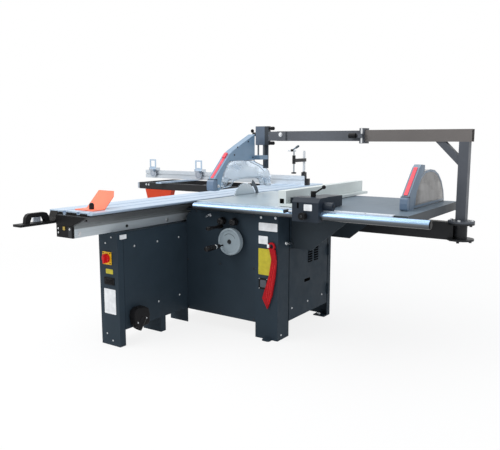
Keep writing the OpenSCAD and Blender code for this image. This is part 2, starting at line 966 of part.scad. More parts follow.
module switch_plate() {
    color([0.95, 0.75, 0.05]) difference() {
        slab([face_x - plate_w / 2, face_x + plate_w / 2], [fcab_y0 - plate_d, fcab_y0],
            [switch_z - plate_h / 2,
            switch_z + plate_h / 2]);
        rod_along_y(face_x, [fcab_y0 - plate_d - over, fcab_y0 - sheet_t / 2], switch_z, shaft_r + run);
    }
}

module switch_knob() {
    y1 = fcab_y0 - plate_d - fit;
    color([0.85, 0.08, 0.08]) {
        rod_along_y(face_x, [y1 - switch_l / 2, y1], switch_z, switch_r);
        slab([face_x - switch_bar / 2, face_x + switch_bar / 2], [y1 - switch_l, y1 - switch_l / 2],
            [switch_z - switch_r, switch_z + switch_r]);
        rod_along_y(face_x, [y1, fcab_y0 - sheet_t / 2 - fit], switch_z, shaft_r);
    }
}

module main_table() {
    color([0.74, 0.78, 0.80]) {
        slab([main_x0, main_x1], [table_y0, table_y1], [table_h - plate_t, table_h]);
        slab([main_x0, main_x1], [table_y0, table_y0 + rim_t], [cab_top, table_h - plate_t]);
        slab([main_x0, main_x1], [table_y1 - rim_t, table_y1], [cab_top, table_h - plate_t]);
        slab([main_x1 - rim_t, main_x1], [table_y0, table_y1], [cab_top, table_h - plate_t]);
        slab([notch_x, main_x1], [front, front + top_lip], [cab_top, table_h - plate_t]);
        slab([notch_x, main_x1], [back - rear_lip, back], [cab_top, table_h - plate_t]);
    }
}

module extension_table() {
    color([0.29, 0.33, 0.37]) difference() {
        slab([main_x1, ext_x1], [table_y0, table_y1], [table_h - ext_h, table_h]);
        slab([main_x1 + ext_t, ext_x1 - ext_t], [table_y0 + ext_t, table_y1 - ext_t],
            [table_h - ext_h - over, table_h - ext_t]);
        slab([main_x1 - over, main_x1 + ext_t + over], [table_y0 + ext_t, table_y1 - ext_t],
            [table_h - ext_h - over, table_h - 2 * ext_t]);
    }
}

// A folded sheet bracket with a slanting right edge
module table_bracket(y) {
    z1 = table_h - ext_h;
    prism_y([y, y + sheet_t], [[right, z1 - bracket_h], [right + bracket_reach, z1 - bracket_h],
        [right + bracket_reach + bracket_run, z1], [right, z1]]);
    slab([right + leaf_t, right + bracket_reach + bracket_run / 2], [y, y + top_lip], [z1 - sheet_t, z1]);
}

module table_brackets() {
    color([0.17, 0.21, 0.25]) {
        table_bracket(front + bracket_back);
        table_bracket(back - sheet_t);
    }
}

// The round rail, its studs and the angle strip
module front_rail() {
    x = [rail_x0, ext_x1 - strip_end];
    color([0.78, 0.80, 0.82]) {
        rod_along_x([rail_x0, rail_x1], rail_y, rail_z, rail_r);
        for (i = [0 : studs - 1]) {
            rod_along_y(rail_x0 + stud_inset + i * (ext_x1 - strip_end - rail_x0 - 2 * stud_inset) / (studs - 1),
                [rail_y, table_y0 - strip_t + over], rail_z - stud_r, stud_r);
        }
        slab(x, [table_y0 - strip_t, table_y0], [strip_z1 - strip_h, strip_z1]);
        slab(x, [table_y0 - strip_out, table_y0], [strip_z1 - strip_t, strip_z1]);
    }
}

// The beam's outline: a plain band, a flare and a flat top
beam_outline = [[beam_x0, beam_z0], [beam_x1, beam_z0], [beam_x1, beam_z0 + beam_band], [beam_tip,
    beam_z1 - lip_t],
    [beam_tip, beam_z1], [beam_x0, beam_z1]];

module slide_beam() {
    x = [beam_x0 + beam_wall, beam_x1 - beam_wall];
    y = [beam_y0 + cap_t - over, beam_y1 - cap_t + over];
    color([0.66, 0.68, 0.69]) difference() {
        prism_y([beam_y0 + cap_t, beam_y1 - cap_t], beam_outline);
        slab(x, y, [beam_z0 + beam_wall, beam_z0 + beam_band - beam_wall / 2]);
        slab([beam_x0 + beam_wall, beam_x1], y, [beam_z0 + beam_band + beam_wall / 2, beam_z1 - beam_wall]);
    }
}

module beam_end_caps() {
    color([0.05, 0.05, 0.06]) {
        for (y = [beam_y0, beam_y1 - cap_t]) {
            slab([beam_x0, beam_x1], [y, y + cap_t], [beam_z0, beam_z0 + beam_band]);
        }
    }
}

// A T slot along the feed, opening up at the given height
module t_slot_up(x, y, z) {
    slab([x - slot_neck / 2, x + slot_neck / 2], [y[0] - over, y[1] + over], [z - slot_neck_d - over,
        z + over]);
    slab([x - slot_head / 2, x + slot_head / 2], [y[0] - over, y[1] + over],
        [z - slot_neck_d - slot_head_d, z - slot_neck_d]);
}

module sliding_table() {
    y = [deck_y0, deck_y1];
    color([0.84, 0.89, 0.94]) difference() {
        union() {
            prism_y(y, [[deck_x0, table_h - edge_h], [deck_x0 + edge_w, table_h - edge_h],
                [deck_x0 + edge_w, deck_z0], [deck_x1 - deck_t + lip_t, deck_z0], [deck_x1, table_h - lip_t],
                [deck_x1, table_h], [deck_x0, table_h]]);
            for (x = [beam_x0 + guide_w, beam_x1 - guide_w]) {
                slab([x, x + guide_w], y, [beam_z1 + fit, deck_z0 + over]);
            }
        }
        for (s = deck_slot_shares) {
            t_slot_up(deck_x0 + s * deck_w, y, table_h);
        }
        slab([deck_x0 - over, deck_x0 + slot_neck_d + over], [y[0] - over, y[1] + over],
            [table_h - edge_h / 2 - slot_neck / 2, table_h - edge_h / 2 + slot_neck / 2]);
        slab([deck_x0 + slot_neck_d, deck_x0 + slot_neck_d + slot_head_d], [y[0] - over, y[1] + over],
            [table_h - edge_h / 2 - slot_head / 2, table_h - edge_h / 2 + slot_head / 2]);
        slab([deck_x0 + slot_head, deck_x0 + edge_w - sheet_t], [y[0] - over, y[1] + over],
            [table_h - edge_h + sheet_t, deck_z0 - sheet_t]);
    }
}

module push_handle() {
    x0 = deck_x0 + edge_w - handle_w;
    x = [x0, x0 + handle_w];
    z1 = table_h - handle_drop;
    y1 = deck_y0 - handle_gap;
    arch_y = y1 - handle_l + arch_in;
    mid = [x0 + (handle_w - arch_w) / 2, x0 + (handle_w + arch_w) / 2];
    color([0.07, 0.07, 0.08]) {
        slab(x, [y1 - handle_l, y1], [z1 - handle_t, z1]);
        prism_x(x, [[y1 - handle_t, z1 - handle_t], [y1, z1 - handle_t], [deck_y0, table_h - edge_h],
            [deck_y0, table_h - lip_t], [deck_y0 - handle_t, table_h - edge_h + handle_t]]);
        difference() {
            prism_x(mid, [for (p = arch_outline) [arch_y + p[0], z1 + p[1]]]);
            prism_x(mid + [-over, over], [for (p = arch_hole) [arch_y + p[0], z1 + p[1]]]);
        }
    }
}

module edging_shoe() {
    run_l = shoe_rise / tan(shoe_lean);
    x = [shoe_x - shoe_w / 2, shoe_x + shoe_w / 2];
    y1 = shoe_y + shoe_base;
    cut = shoe_w / 5;
    color([0.98, 0.50, 0.38]) {
        slab(x, [shoe_y, y1 + shoe_t], [table_h, table_h + shoe_t]);
        difference() {
            prism_x(x, [[y1, table_h], [y1 + shoe_t, table_h], [y1 + run_l + shoe_t, table_h + shoe_rise],
                [y1 + run_l, table_h + shoe_rise]]);
            translate([x[1], y1 + run_l + shoe_t, table_h + shoe_rise]) rotate([90, 0, 0])
                linear_extrude(4 * cut, center = true) polygon([[-cut, over], [over, over], [over, -cut]]);
        }
        rod_along_z(shoe_x + shoe_w / 8, shoe_y + shoe_base / 2, [table_h + shoe_t,
            table_h + shoe_t + shoe_knob_h],
            shoe_knob_r);
    }
}

module outrigger_frame() {
    x = [out_x0, out_x1];
    color([0.16, 0.18, 0.20]) {
        tube_x(x, [out_y0, out_y0 + out_tube], [out_z0, out_z1], out_wall);
        tube_x(x, [out_y1 - out_tube, out_y1], [out_z0, out_z1], out_wall);
        for (x0 = [out_x0, out_x0 + out_post_share * out_l, out_x1 - out_tube]) {
            tube_y([x0, x0 + out_tube], [out_y0 + out_tube, out_y1 - out_tube], [out_z0, out_z1], out_wall);
        }
    }
}

module outrigger_bar() {
    x0 = out_x0 + out_bar_share * out_l;
    color([0.80, 0.82, 0.84]) difference() {
        slab([x0, x0 + out_bar_w], [out_y0 - out_bar_over, out_y1 + out_bar_over], [out_z1,
            out_z1 + out_bar_h]);
        slab([x0 + out_bar_w / 2 - slot_neck / 2, x0 + out_bar_w / 2 + slot_neck / 2],
            [out_y0 - out_bar_over - over, out_y1 + out_bar_over + over], [out_z1 + out_bar_h / 2,
                out_z1 + out_bar_h
            + over]);
    }
}

module crosscut_fence() {
    z = [table_h, table_h + cross_h];
    mid = table_h + cross_h / 2;
    color([0.80, 0.83, 0.86]) {
        difference() {
            slab([cross_x0, cross_x1], [cross_y, cross_y + cross_d], z);
            slab([cross_x0 - over, cross_x1 + over], [cross_y + cross_wall, cross_y + cross_d - cross_wall],
                [table_h + cross_wall, mid - slot_head]);
            slab([cross_x0 - over, cross_x1 + over], [cross_y - over, cross_y + slot_neck_d],
                [mid - slot_neck / 2,
                mid + slot_neck / 2]);
            slab([cross_x0 - over, cross_x1 + over], [cross_y + slot_neck_d,
                cross_y + slot_neck_d + slot_head_d],
                [mid - slot_head / 2, mid + slot_head / 2]);
            slab([cross_x0 - over, cross_x1 + over], [cross_y + cross_wall, cross_y + cross_d - cross_wall],
                [mid + slot_head, z[1] - cross_wall]);
        }
        slab([cross_x1, cross_x1 + cross_end], [cross_y, cross_y + cross_d], [table_h,
            table_h + cross_cap_h]);
        for (i = [0 : len(stop_shares) - 1]) {
            stop_block(stop_x(i));
        }
    }
}

// A stop's block on the fence: two ears and a hinge pin
module stop_block(x) {
    z = [table_h + cross_h, table_h + cross_h + stop_block_h];
    slab([x - stop_ear, x + stop_w + stop_ear], [cross_y + stop_gap, cross_y + cross_d], z);
    for (x0 = [x - stop_ear, x + stop_w]) {
        slab([x0, x0 + stop_ear], [cross_y - stop_out - stop_knuckle_r, cross_y + stop_gap], z);
    }
    rod_along_x([x - stop_ear, x + stop_w + stop_ear], cross_y - stop_out, stop_pin_z, stop_pin_r);
}

function stop_x(i) = cross_x0 + stop_shares[i] * cross_l;

// A flip stop: a loop plate that stands up at rest
module flip_stop(x) {
    y = cross_y - stop_out;
    mid = x + stop_w / 2;
    color([0.80, 0.82, 0.84]) difference() {
        union() {
            slab([x + fit, x + stop_w - fit], [y - stop_t / 2, y + stop_t / 2], [stop_pin_z,
                stop_pin_z + stop_h]);
            rod_along_x([x + fit, x + stop_w - fit], y, stop_pin_z, stop_knuckle_r);
        }
        slab([mid - stop_w / 2 + stop_rim, mid + stop_w / 2 - stop_rim], [y - stop_t, y + stop_t],
            [stop_pin_z + stop_h - stop_rim - stop_loop, stop_pin_z + stop_h - stop_rim]);
        rod_along_x([x - over, x + stop_w + over], y, stop_pin_z, stop_pin_r + run);
    }
}

module flip_stop_left() {
    flip_stop(stop_x(0));
}

module flip_stop_right() {
    flip_stop(stop_x(1));
}

module clamp_column() {
    z1 = clamp_z + clamp_h;
    arm_z0 = z1 - clamp_arm_drop;
    tip_y = clamp_y - clamp_reach;
    color([0.15, 0.16, 0.17]) difference() {
        union() {
            slab([clamp_x - clamp_foot_w / 2, clamp_x + clamp_foot_w / 2], [clamp_y - clamp_foot_w / 2,
                clamp_y + clamp_foot_w / 2], [clamp_z, clamp_z + clamp_foot_h]);
            rod_along_z(clamp_x, clamp_y, [clamp_z, z1], column_r);
            slab([clamp_x - clamp_arm_w / 2, clamp_x + clamp_arm_w / 2], [tip_y, clamp_y + clamp_arm_w / 2],
                [arm_z0, arm_z0 + clamp_arm_h]);
            rod_along_z(clamp_x, tip_y, [arm_z0 - clamp_arm_h / 2, arm_z0 + 2 * clamp_arm_h],
                clamp_arm_w / 2);
        }
        rod_along_z(clamp_x, tip_y, [arm_z0 - clamp_arm_h, arm_z0 + 3 * clamp_arm_h], spindle_r + run);
    }
}

module clamp_spindle() {
    y = clamp_y - clamp_reach;
    z1 = clamp_z + clamp_h - clamp_arm_drop + 2 * clamp_arm_h + spindle_up;
    z0 = z1 - spindle_l - spindle_up;
    color([0.70, 0.71, 0.72]) {
        rod_along_z(clamp_x, y, [z0, z1], spindle_r);
        rod_along_z(clamp_x, y, [z0 - pad_h, z0], pad_r);
        rod_along_x([clamp_x - spindle_bar_l, clamp_x + spindle_bar_l / 3], y, z1 - spindle_bar_r,
            spindle_bar_r);
    }
}

// Places that follow the swing arm, along it from the pivot
module along_swing() {
    translate([pivot_x, pivot_y, 0]) rotate([0, 0, swing_angle]) children();
}

swing_z0 = pivot_z[0] + pivot_plate_t + fit;
swing_z1 = swing_z0 + swing_h;

module swing_arm() {
    color([0.16, 0.18, 0.20]) along_swing() difference() {
        union() {
            rod_along_z(0, 0, [swing_z0, pivot_z[1] - pivot_plate_t - fit], pivot_r + pivot_wall);
            tube_x([pivot_r, swing_l], [-swing_w / 2, swing_w / 2], [swing_z0, swing_z1], swing_t);
        }
        rod_along_z(0, 0, [swing_z0 - over, pivot_z[1]], pivot_r + run);
    }
}

module swing_extension() {
    w = swing_w / 2 - swing_t - swing_inner_gap;
    z = [swing_z0 + swing_t + swing_inner_gap, swing_z1 - swing_t - swing_inner_gap];
    end = swing_l + swing_out;
    color([0.85, 0.25, 0.10]) along_swing() {
        tube_x([swing_l - ext_in, end], [-w, w], z, swing_t);
        translate([end - head_t / 2, 0, 0]) rotate([0, 0, -swing_angle]) prism_y([-head_t / 2, head_t / 2],
            [[-head_low_l / 2, z[1] - over], [head_low_l / 2, z[1] - over], [head_top_l / 2, head_z1],
            [-head_top_l / 2, head_z1]]);
    }
}

// The pivot bracket of the swing arm, on the left rear post
module swing_bracket() {
    for (z = [pivot_z[0], pivot_z[1] - pivot_plate_t]) {
        slab([pivot_x - pivot_r - pivot_wall, left], [pivot_y - pivot_r - pivot_wall,
            pivot_y + pivot_r + pivot_wall],
            [z, z + pivot_plate_t]);
    }
    rod_along_z(pivot_x, pivot_y, pivot_z, pivot_r);
}

module rip_fence_body() {
    tail = [body_x0 + tail_in, body_x1 - tail_in / 2];
    color([0.24, 0.26, 0.30]) difference() {
        union() {
            prism_x([body_x0, body_x1], [[body_y0, body_z0], [body_cut_y, body_z0], [body_cut_y, bar_z0],
                [body_cut_y + 2 * body_nose, bar_z0], [body_cut_y + 2 * body_nose, body_z1],
                [body_y0 + body_nose, body_z1], [body_y0, body_z1 - body_nose]]);
            prism_x(tail, [[body_cut_y, bar_z0], [body_y1, bar_z0], [body_y1, body_z1 - tail_drop],
                [body_cut_y, body_z1]]);
            slab([bar_x1 + fit, tail[0] + over], head_y, [bar_z0 + flange_h + fit,
                bar_z0 + flange_h + head_h]);
        }
        rod_along_x([body_x0 - over, body_x1 + over], rail_y, rail_z, rail_r + fit);
        rod_along_z(lever_x, lever_y, [body_z1 - tail_drop - lever_pin_l - fit, body_z1 + over],
            lever_pin_r + run);
        rod_along_y(front_knob_x, [body_y0 - over, body_y0 + pin_l / 2 + fit], front_knob_z, shaft_r + run);
        rod_along_x([body_x1 - pin_l / 2 - fit, body_x1 + over], side_knob_y, side_knob_z, shaft_r + run);
        rod_along_x([body_x0 - over, body_x0 + pin_l / 2 + fit], clamp_rod_y, clamp_rod_z, clamp_rod_r + run);
    }
}

module rip_fence_bar() {
    y = [bar_y0, bar_y0 + bar_l];
    cut = [y[0] - over, y[1] + over];
    color([0.80, 0.83, 0.86]) difference() {
        prism_y(y, [[fence_x, bar_z0], [bar_x1 + flange_w, bar_z0], [bar_x1 + flange_w, bar_z0 + flange_h],
            [bar_x1, bar_z0 + flange_h], [bar_x1, bar_z1], [fence_x, bar_z1]]);
        slab([fence_x + bar_wall, bar_x1 - bar_wall], cut, [bar_z0 + bar_wall, bar_z0 + flange_h]);
        slab([fence_x + bar_wall, bar_x1 - bar_wall], cut, [bar_z0 + flange_h + bar_wall, bar_z1 - bar_wall]);
        slab([bar_x1 + bar_wall, bar_x1 + flange_w - bar_wall], cut, [bar_z0 + bar_wall,
            bar_z0 + flange_h - bar_wall]);
    }
}

lever_x = body_x0 + lever_x_share * body_w;
lever_y = body_y0 + lever_y_share * body_l;
clamp_rod_y = body_y0 + clamp_y_share * body_l;
clamp_rod_z = body_z0 + clamp_z_share * body_h;
front_knob_x = body_x0 + front_knob_shares[0] * body_w;
front_knob_z = body_z0 + front_knob_shares[1] * body_h;
side_knob_y = body_y0 + side_knob_shares[0] * body_l;
side_knob_z = body_z0 + side_knob_shares[1] * body_h;

module fence_lever() {
    z0 = body_z1 + fit;
    color([0.10, 0.10, 0.11]) {
        rod_along_z(lever_x, lever_y, [z0, z0 + lever_hub_h], lever_hub_r);
        rod_along_z(lever_x, lever_y, [body_z1 - tail_drop - lever_pin_l, z0], lever_pin_r);
        translate([lever_x, lever_y, z0 + lever_hub_h / 2]) rotate([0, 90 - lever_rise, 0]) {
            cylinder(h = lever_rod_l, r = lever_rod_r);
            translate([0, 0, lever_rod_l]) sphere(r = lever_knob_r);
        }
    }
}

module fence_clamp() {
    x1 = body_x0 - fit;
    color([0.12, 0.12, 0.13]) {
        rod_along_x([x1 - clamp_rod_l, body_x0 + pin_l / 2], clamp_rod_y, clamp_rod_z, clamp_rod_r);
        rod_along_y(x1 - clamp_rod_l + clamp_grip_r, [clamp_rod_y - 5 * clamp_grip_l / 6,
            clamp_rod_y + clamp_grip_l / 6],
            clamp_rod_z, clamp_grip_r);
    }
}

module fence_front_knob() {
    y1 = body_y0 - fit;
    color([0.10, 0.10, 0.11]) {
        rod_along_y(front_knob_x, [y1 - front_knob_l, y1], front_knob_z, front_knob_r);
        rod_along_y(front_knob_x, [y1, body_y0 + pin_l / 2], front_knob_z, shaft_r);
    }
}

module fence_side_knob() {
    x0 = body_x1 + fit;
    color([0.20, 0.21, 0.23]) {
        rod_along_x([x0, x0 + side_knob_l], side_knob_y, side_knob_z, side_knob_r);
        rod_along_x([body_x1 - pin_l / 2, x0], side_knob_y, side_knob_z, shaft_r);
    }
}

// A round flange with its four bolts
module bolted_flange(z) {
    rod_along_z(post_x, arm_y, [z, z + flange_t2], flange_d / 2);
    for (a = [0 : 90 : 270]) {
        rod_along_z(post_x + flange_bolt_d / 2 * cos(a), arm_y + flange_bolt_d / 2 * sin(a),
            [z - flange_t2, z], flange_bolt_r);
    }
}

// The tube behind the cabinet, with the stub that carries the post
module support_beam() {
    color([0.06, 0.06, 0.07]) {
        tube_x([sup_x0, sup_x1 + over], [sup_y0, sup_y0 + sup_w], [sup_z, sup_z1], tube_t);
        bolted_flange(sup_z);
        bolted_flange(sup_z1 - flange_t2);
        rod_along_z(post_x, arm_y, [sup_z, sup_z1], stub_r);
        slab([sup_x1, post_x], [arm_y - stub_web / 2, arm_y + stub_web / 2], [sup_z, sup_z1]);
    }
}

// The square post on its flange, with the brace under the arm
module overhead_post() {
    x = [post_x - tube_w / 2, post_x + tube_w / 2];
    y = [arm_y - tube_w / 2, arm_y + tube_w / 2];
    color([0.37, 0.38, 0.41]) {
        rod_along_z(post_x, arm_y, [sup_z1, sup_z1 + flange_t2], flange_d / 2);
        difference() {
            slab(x, y, [sup_z1, arm_z0]);
            slab([x[0] + tube_t, x[1] - tube_t], [y[0] + tube_t, y[1] - tube_t], [sup_z1 + flange_t2,
                arm_z0 + over]);
        }
        prism_y([arm_y - brace_w / 2, arm_y + brace_w / 2], [[x[0], arm_z0 - brace_leg],
            [x[0], arm_z0 - brace_leg + brace_t], [x[0] - brace_leg + brace_t, arm_z0],
                [x[0] - brace_leg, arm_z0]]);
    }
}

module arm_outer_tube() {
    color([0.37, 0.38, 0.41]) tube_x([arm_x0_end, arm_x1_end], [arm_y - tube_w / 2, arm_y + tube_w / 2],
        [arm_z0, arm_z1], tube_t);
}

// The collar at the tube's mouth, with its ear
module arm_collar() {
    x = [arm_x0_end - collar_l, arm_x0_end];
    y = tube_w / 2 + collar_t;
    z = tube_h / 2 + collar_t;
    bore_y = inner_w / 2 + fit;
    bore_z = inner_h / 2 + fit;
    color([0.30, 0.31, 0.33]) difference() {
        union() {
            slab(x, [arm_y - y, arm_y + y], [arm_z - z, arm_z + z]);
            slab(x, [lock_y - lock_ear, arm_y], [arm_z - lock_ear, arm_z + lock_ear]);
        }
        slab([x[0] - over, x[1] + over], [arm_y - bore_y, arm_y + bore_y], [arm_z - bore_z, arm_z + bore_z]);
        rod_along_x([x[0] - over, x[1] + over], lock_y, arm_z, lock_stud_r + run);
    }
}

module arm_lock_knob() {
    x = arm_x0_end - collar_l - lock_neck;
    color([0.05, 0.05, 0.06]) {
        rod_along_x([x - over, arm_x0_end - fit], lock_y, arm_z, lock_stud_r);
        rod_along_x([x - lock_l, x], lock_y, arm_z, lock_r);
    }
}

// The tube that slides in the arm, with the hanger's lap plate
module arm_inner_tube() {
    y = inner_w / 2;
    z = inner_h / 2;
    color([0.33, 0.34, 0.37]) {
        tube_x([inner_x0, arm_x0_end + inner_in], [arm_y - y, arm_y + y], [arm_z - z, arm_z + z], tube_t);
        slab([inner_x0 - lug_l, inner_x0 + lug_in], [arm_y - y - lug_t, arm_y - y], [arm_z - lug_h / 2,
            arm_z + lug_h / 2]);
    }
}

// The block at the arm's end: bores for the hood's rods and a clamping knob
module hood_hanger() {
    x = [blade_x - block_left, inner_x0 - lug_l];
    color([0.36, 0.42, 0.50]) difference() {
        union() {
            slab(x, block_y, block_z);
            rod_along_x([x[0] - hang_knob_l, x[0] + over], rod_y, arm_z + hang_knob_r, hang_knob_r);
        }
        for (s = [-1, 1]) {
            rod_along_z(rod_x + s * rod_dx, rod_y, block_z + [-over, over], rod_r + run);
        }
    }
}

// A hollow hood from its outline, open below
module hollow(points, x, w, t) {
    difference() {
        prism_x([x - w / 2, x + w / 2], points);
        prism_x([x - w / 2 + t, x + w / 2 - t], [for (p = points) p + [2 * t, -2 * t]]);
    }
}

// The hood's shell, with the lug, rods and plate that hang it on the arm
module hood_shell() {
    points = spread(shell_shares, hood_y0, hood_z0, hood_l, hood_h);
    plate_y = block_y[1] + hang_gap;
    hang_x1 = hang_x0 + hang_w;
    color([0.43, 0.49, 0.57]) {
        hollow(points, blade_x, hood_w, hood_t);
        slab([blade_x - hood_w / 2, blade_x + hood_w / 2], [hood_y1 - lug_wall, hood_y1],
            [hood_z0 + shell_shares[6][1] * hood_h, hood_z0 + rear_share * hood_h]);
        slab([blade_x - hood_w / 2, hang_x1], [hood_y1 - over, plate_y + hang_t], lug_z);
        slab([hang_x0, hang_x1], [plate_y, plate_y + hang_t], [lug_z[0] - hang_low, rod_z1]);
        for (s = [-1, 1]) {
            rod_along_z(rod_x + s * rod_dx, rod_y, [lug_z[1] - over, rod_z1], rod_r);
        }
    }
}

module hood_window() {
    w = hood_w - 2 * hood_t - 2 * window_fit;
    clear_case(spread(window_shares, hood_y0, hood_z0, hood_l, hood_h), blade_x, w);
}

// A clear case from its outline, open below and behind
module clear_case(points, x, w) {
    color([0.85, 0.92, 0.95, 0.4]) difference() {
        prism_x([x - w / 2, x + w / 2], points);
        prism_x([x - w / 2 + window_t, x + w / 2 - window_t], [for (p = points) p + [window_t, -window_t]]);
    }
}

// A stripe on the slanting edge of a hood
module stripe(a, b, x) {
    n = normal(a, b);
    prism_x([x - stripe_w / 2, x + stripe_w / 2], [a, b, b + stripe_t * n, a + stripe_t * n]);
}

module hood_trim() {
    p = spread(stripe_shares, hood_y0, hood_z0, hood_l, hood_h);
    n = normal(p[0], p[1]);
    d = (p[1] - p[0]) / norm(p[1] - p[0]);
    color([0.90, 0.22, 0.26]) {
        stripe(p[0], p[1], blade_x);
        prism_x([blade_x - button_w / 2, blade_x + button_w / 2], [p[1] - button_l * d, p[1],
            p[1] + button_t * n,
            p[1] - button_l * d + button_t * n]);
    }
}

module spare_hood_shell() {
    points = spread(spare_shell_shares, spare_y0, table_h, spare_l, spare_h);
    p = spread(spare_stripe_shares, spare_y0, table_h, spare_l, spare_h);
    color([0.43, 0.49, 0.57]) {
        hollow(points, spare_x, spare_w, spare_t);
        stripe(p[0], p[1], spare_x);
    }
}

module spare_hood_window() {
    w = spare_w - 2 * spare_t - 2 * window_fit;
    clear_case(spread(spare_window_shares, spare_y0, table_h, spare_l, spare_h), spare_x, w);
}

// Places measured from the blade's plane and the table's top
module at_pivot() {
    translate([blade_x, 0, table_h]) children();
}

// A ring sector below the tilt axis, between two angles
module sector(y, r0, r1, a0, a1) {
    steps = 6;
    far = 2 * r1;
    difference() {
        intersection() {
            rod_along_y(0, y, 0, r1);
            prism_y(y, concat([[0, 0]], arc(far, -a1, -a0, steps)));
        }
        rod_along_y(0, y + [-over, over], 0, r0);
    }
}

module trunnions() {
    color([0.35, 0.36, 0.38]) at_pivot() for (y = [front_end_y, rear_end_y]) {
        difference() {
            sector([y, y + end_t], trunnion_r, trunnion_r + trunnion_w, 0, trunnion_angle);
            slab([0, trunnion_r + trunnion_w + over], [y - over, y + end_t + over], [-plate_t, over]);
        }
    }
}

module tilt_frame() {
    arms = [[front_end_y + end_t - over, blade_y - guide_dy + guide_r + boss_wall],
        [blade_y + guide_dy - guide_r - boss_wall, rear_end_y + over]];
    color([0.28, 0.30, 0.33]) at_pivot() {
        for (y = [front_end_y, rear_end_y]) {
            difference() {
                sector([y, y + end_t], pie_r0, trunnion_r - fit, pie_top_angle, pie_end_angle);
                rod_along_y(pie_hole_share * trunnion_r * cos(pie_end_angle - pie_top_angle), [y - over,
                    y + end_t + over],
                    -pie_hole_share * trunnion_r * sin(pie_end_angle - pie_top_angle), pie_hole_r);
            }
        }
        for (y = arms) {
            slab([guide_x - arm_w / 2, guide_x + arm_w / 2], y, [upper_arm_z, upper_arm_z + arm_h]);
            intersection() {
                slab([guide_x - arm_w / 2, arm_x1], y, [lower_arm_z, lower_arm_z + arm_h]);
                rod_along_y(0, y, 0, trunnion_r - fit);
            }
        }
        for (s = [-1, 1]) {
            rod_along_z(guide_x, blade_y + s * guide_dy, [lower_arm_z, upper_arm_z + arm_h], guide_r);
        }
        rotate([0, bar_angle, 0]) slab([bar_r - bar_side / 2, bar_r + bar_side / 2], [front_end_y + over,
            rear_end_y + over],
            [-bar_side / 2, bar_side / 2]);
        difference() {
            union() {
                rod_along_x(scoring_body_x, scoring_y, scoring_z, scoring_body_r);
                slab(scoring_pad_x, [scoring_y, front_end_y + over], scoring_pad_z);
            }
            rod_along_x([scoring_body_x[0] - over, scoring_shaft_l + fit], scoring_y, scoring_z,
                scoring_shaft_r + run);
        }
    }
}

module lift_carriage() {
    color([0.45, 0.46, 0.48]) at_pivot() difference() {
        union() {
            slab([plate_x, carriage_x1], [blade_y - carriage_half, blade_y + carriage_half],
                [carriage_z0, carriage_z1]);
            slab([plate_x, carriage_x1], [blade_y - guide_dy, blade_y + guide_dy], [boss_z0, boss_z1]);
            rod_along_x([housing_x0, carriage_x1], blade_y, -arbor_drop, housing_r);
            for (s = [-1, 1]) {
                rod_along_z(guide_x, blade_y + s * guide_dy, [boss_z0, boss_z1], guide_r + boss_wall);
                slab([carriage_x1 - over, motor_x0 + over], [blade_y + s * motor_arm_dy - motor_arm_t / 2,
                    blade_y + s * motor_arm_dy + motor_arm_t / 2], [-motor_drop - motor_r / 2,
                        -motor_drop + motor_r / 2]);
            }
            slab([motor_x0, motor_x0 + motor_plate_t], [blade_y - motor_r, blade_y + motor_r],
                [-motor_drop - motor_r,
                -motor_drop + motor_r]);
            slab([knife_arm_x0, knife_arm_x1], [blade_y, knife_y1], knife_arm_z);
            slab([knife_t / 2, knife_arm_x1], [blade_y + blade_d / 2 + knife_gap / 2, knife_y1], knife_arm_z);
        }
        rod_along_x([knife_arm_x0 - over, carriage_x1 + over], blade_y, -arbor_drop, arbor_r + run);
        for (s = [-1, 1]) {
            rod_along_z(guide_x, blade_y + s * guide_dy, [boss_z0 - over, boss_z1 + over], guide_r + run);
        }
        rod_along_x([motor_x0 - over, motor_x0 + motor_plate_t + over], blade_y, -motor_drop,
            2 * motor_shaft_r);
    }
}

module motor() {
    x0 = motor_x0 + motor_plate_t;
    color([0.30, 0.36, 0.42]) at_pivot() difference() {
        union() {
            rod_along_x([x0, x0 + motor_l], blade_y, -motor_drop, motor_r - fin_h);
            rod_along_x([x0, x0 + fan_l / 2], blade_y, -motor_drop, motor_r);
            rod_along_x([x0 + motor_l - fan_l, x0 + motor_l], blade_y, -motor_drop, motor_r);
            for (i = [0 : fin_n - 1]) {
                translate([x0, blade_y, -motor_drop]) rotate([i * 360 / fin_n, 0, 0])
                    translate([0, -fin_t / 2, 0]) cube([motor_l - fan_l / 2, fin_t, motor_r - over]);
            }
        }
        rod_along_x([x0 - over, x0 + motor_shaft_in + fit], blade_y, -motor_drop, motor_shaft_r + run);
    }
}

module motor_pulley() {
    x0 = motor_x0 + motor_plate_t;
    color([0.50, 0.51, 0.53]) at_pivot() {
        rod_along_x([pulley_x1 - over, x0 + motor_shaft_in], blade_y, -motor_drop, motor_shaft_r);
        rod_along_x([pulley_x0, pulley_x1], blade_y, -motor_drop, motor_pulley_r);
    }
}

module riving_knife() {
    r0 = blade_d / 2 + knife_gap;
    color([0.16, 0.17, 0.18]) translate([blade_x - knife_t / 2, blade_y, blade_z]) rotate([90, 0, 90])
        linear_extrude(knife_t) polygon(concat(arc(r0, knife_start_angle, knife_end_angle, 16),
            arc(r0 + knife_w, knife_end_angle, knife_start_angle, 16)));
}

module drive_belt() {
    r = [arbor_pulley_r + fit, motor_pulley_r + fit];
    color([0.06, 0.06, 0.06]) at_pivot() translate([pulley_x0 + (pulley_w - belt_w) / 2, blade_y, 0])
        rotate([90, 0, 90]) linear_extrude(belt_w) difference() {
            hull() {
                translate([0, -arbor_drop]) circle(r = r[0] + belt_t, $fn = 32);
                translate([0, -motor_drop]) circle(r = r[1] + belt_t, $fn = 32);
            }
            hull() {
                translate([0, -arbor_drop]) circle(r = r[0], $fn = 64);
                translate([0, -motor_drop]) circle(r = r[1], $fn = 64);
            }
        }
}

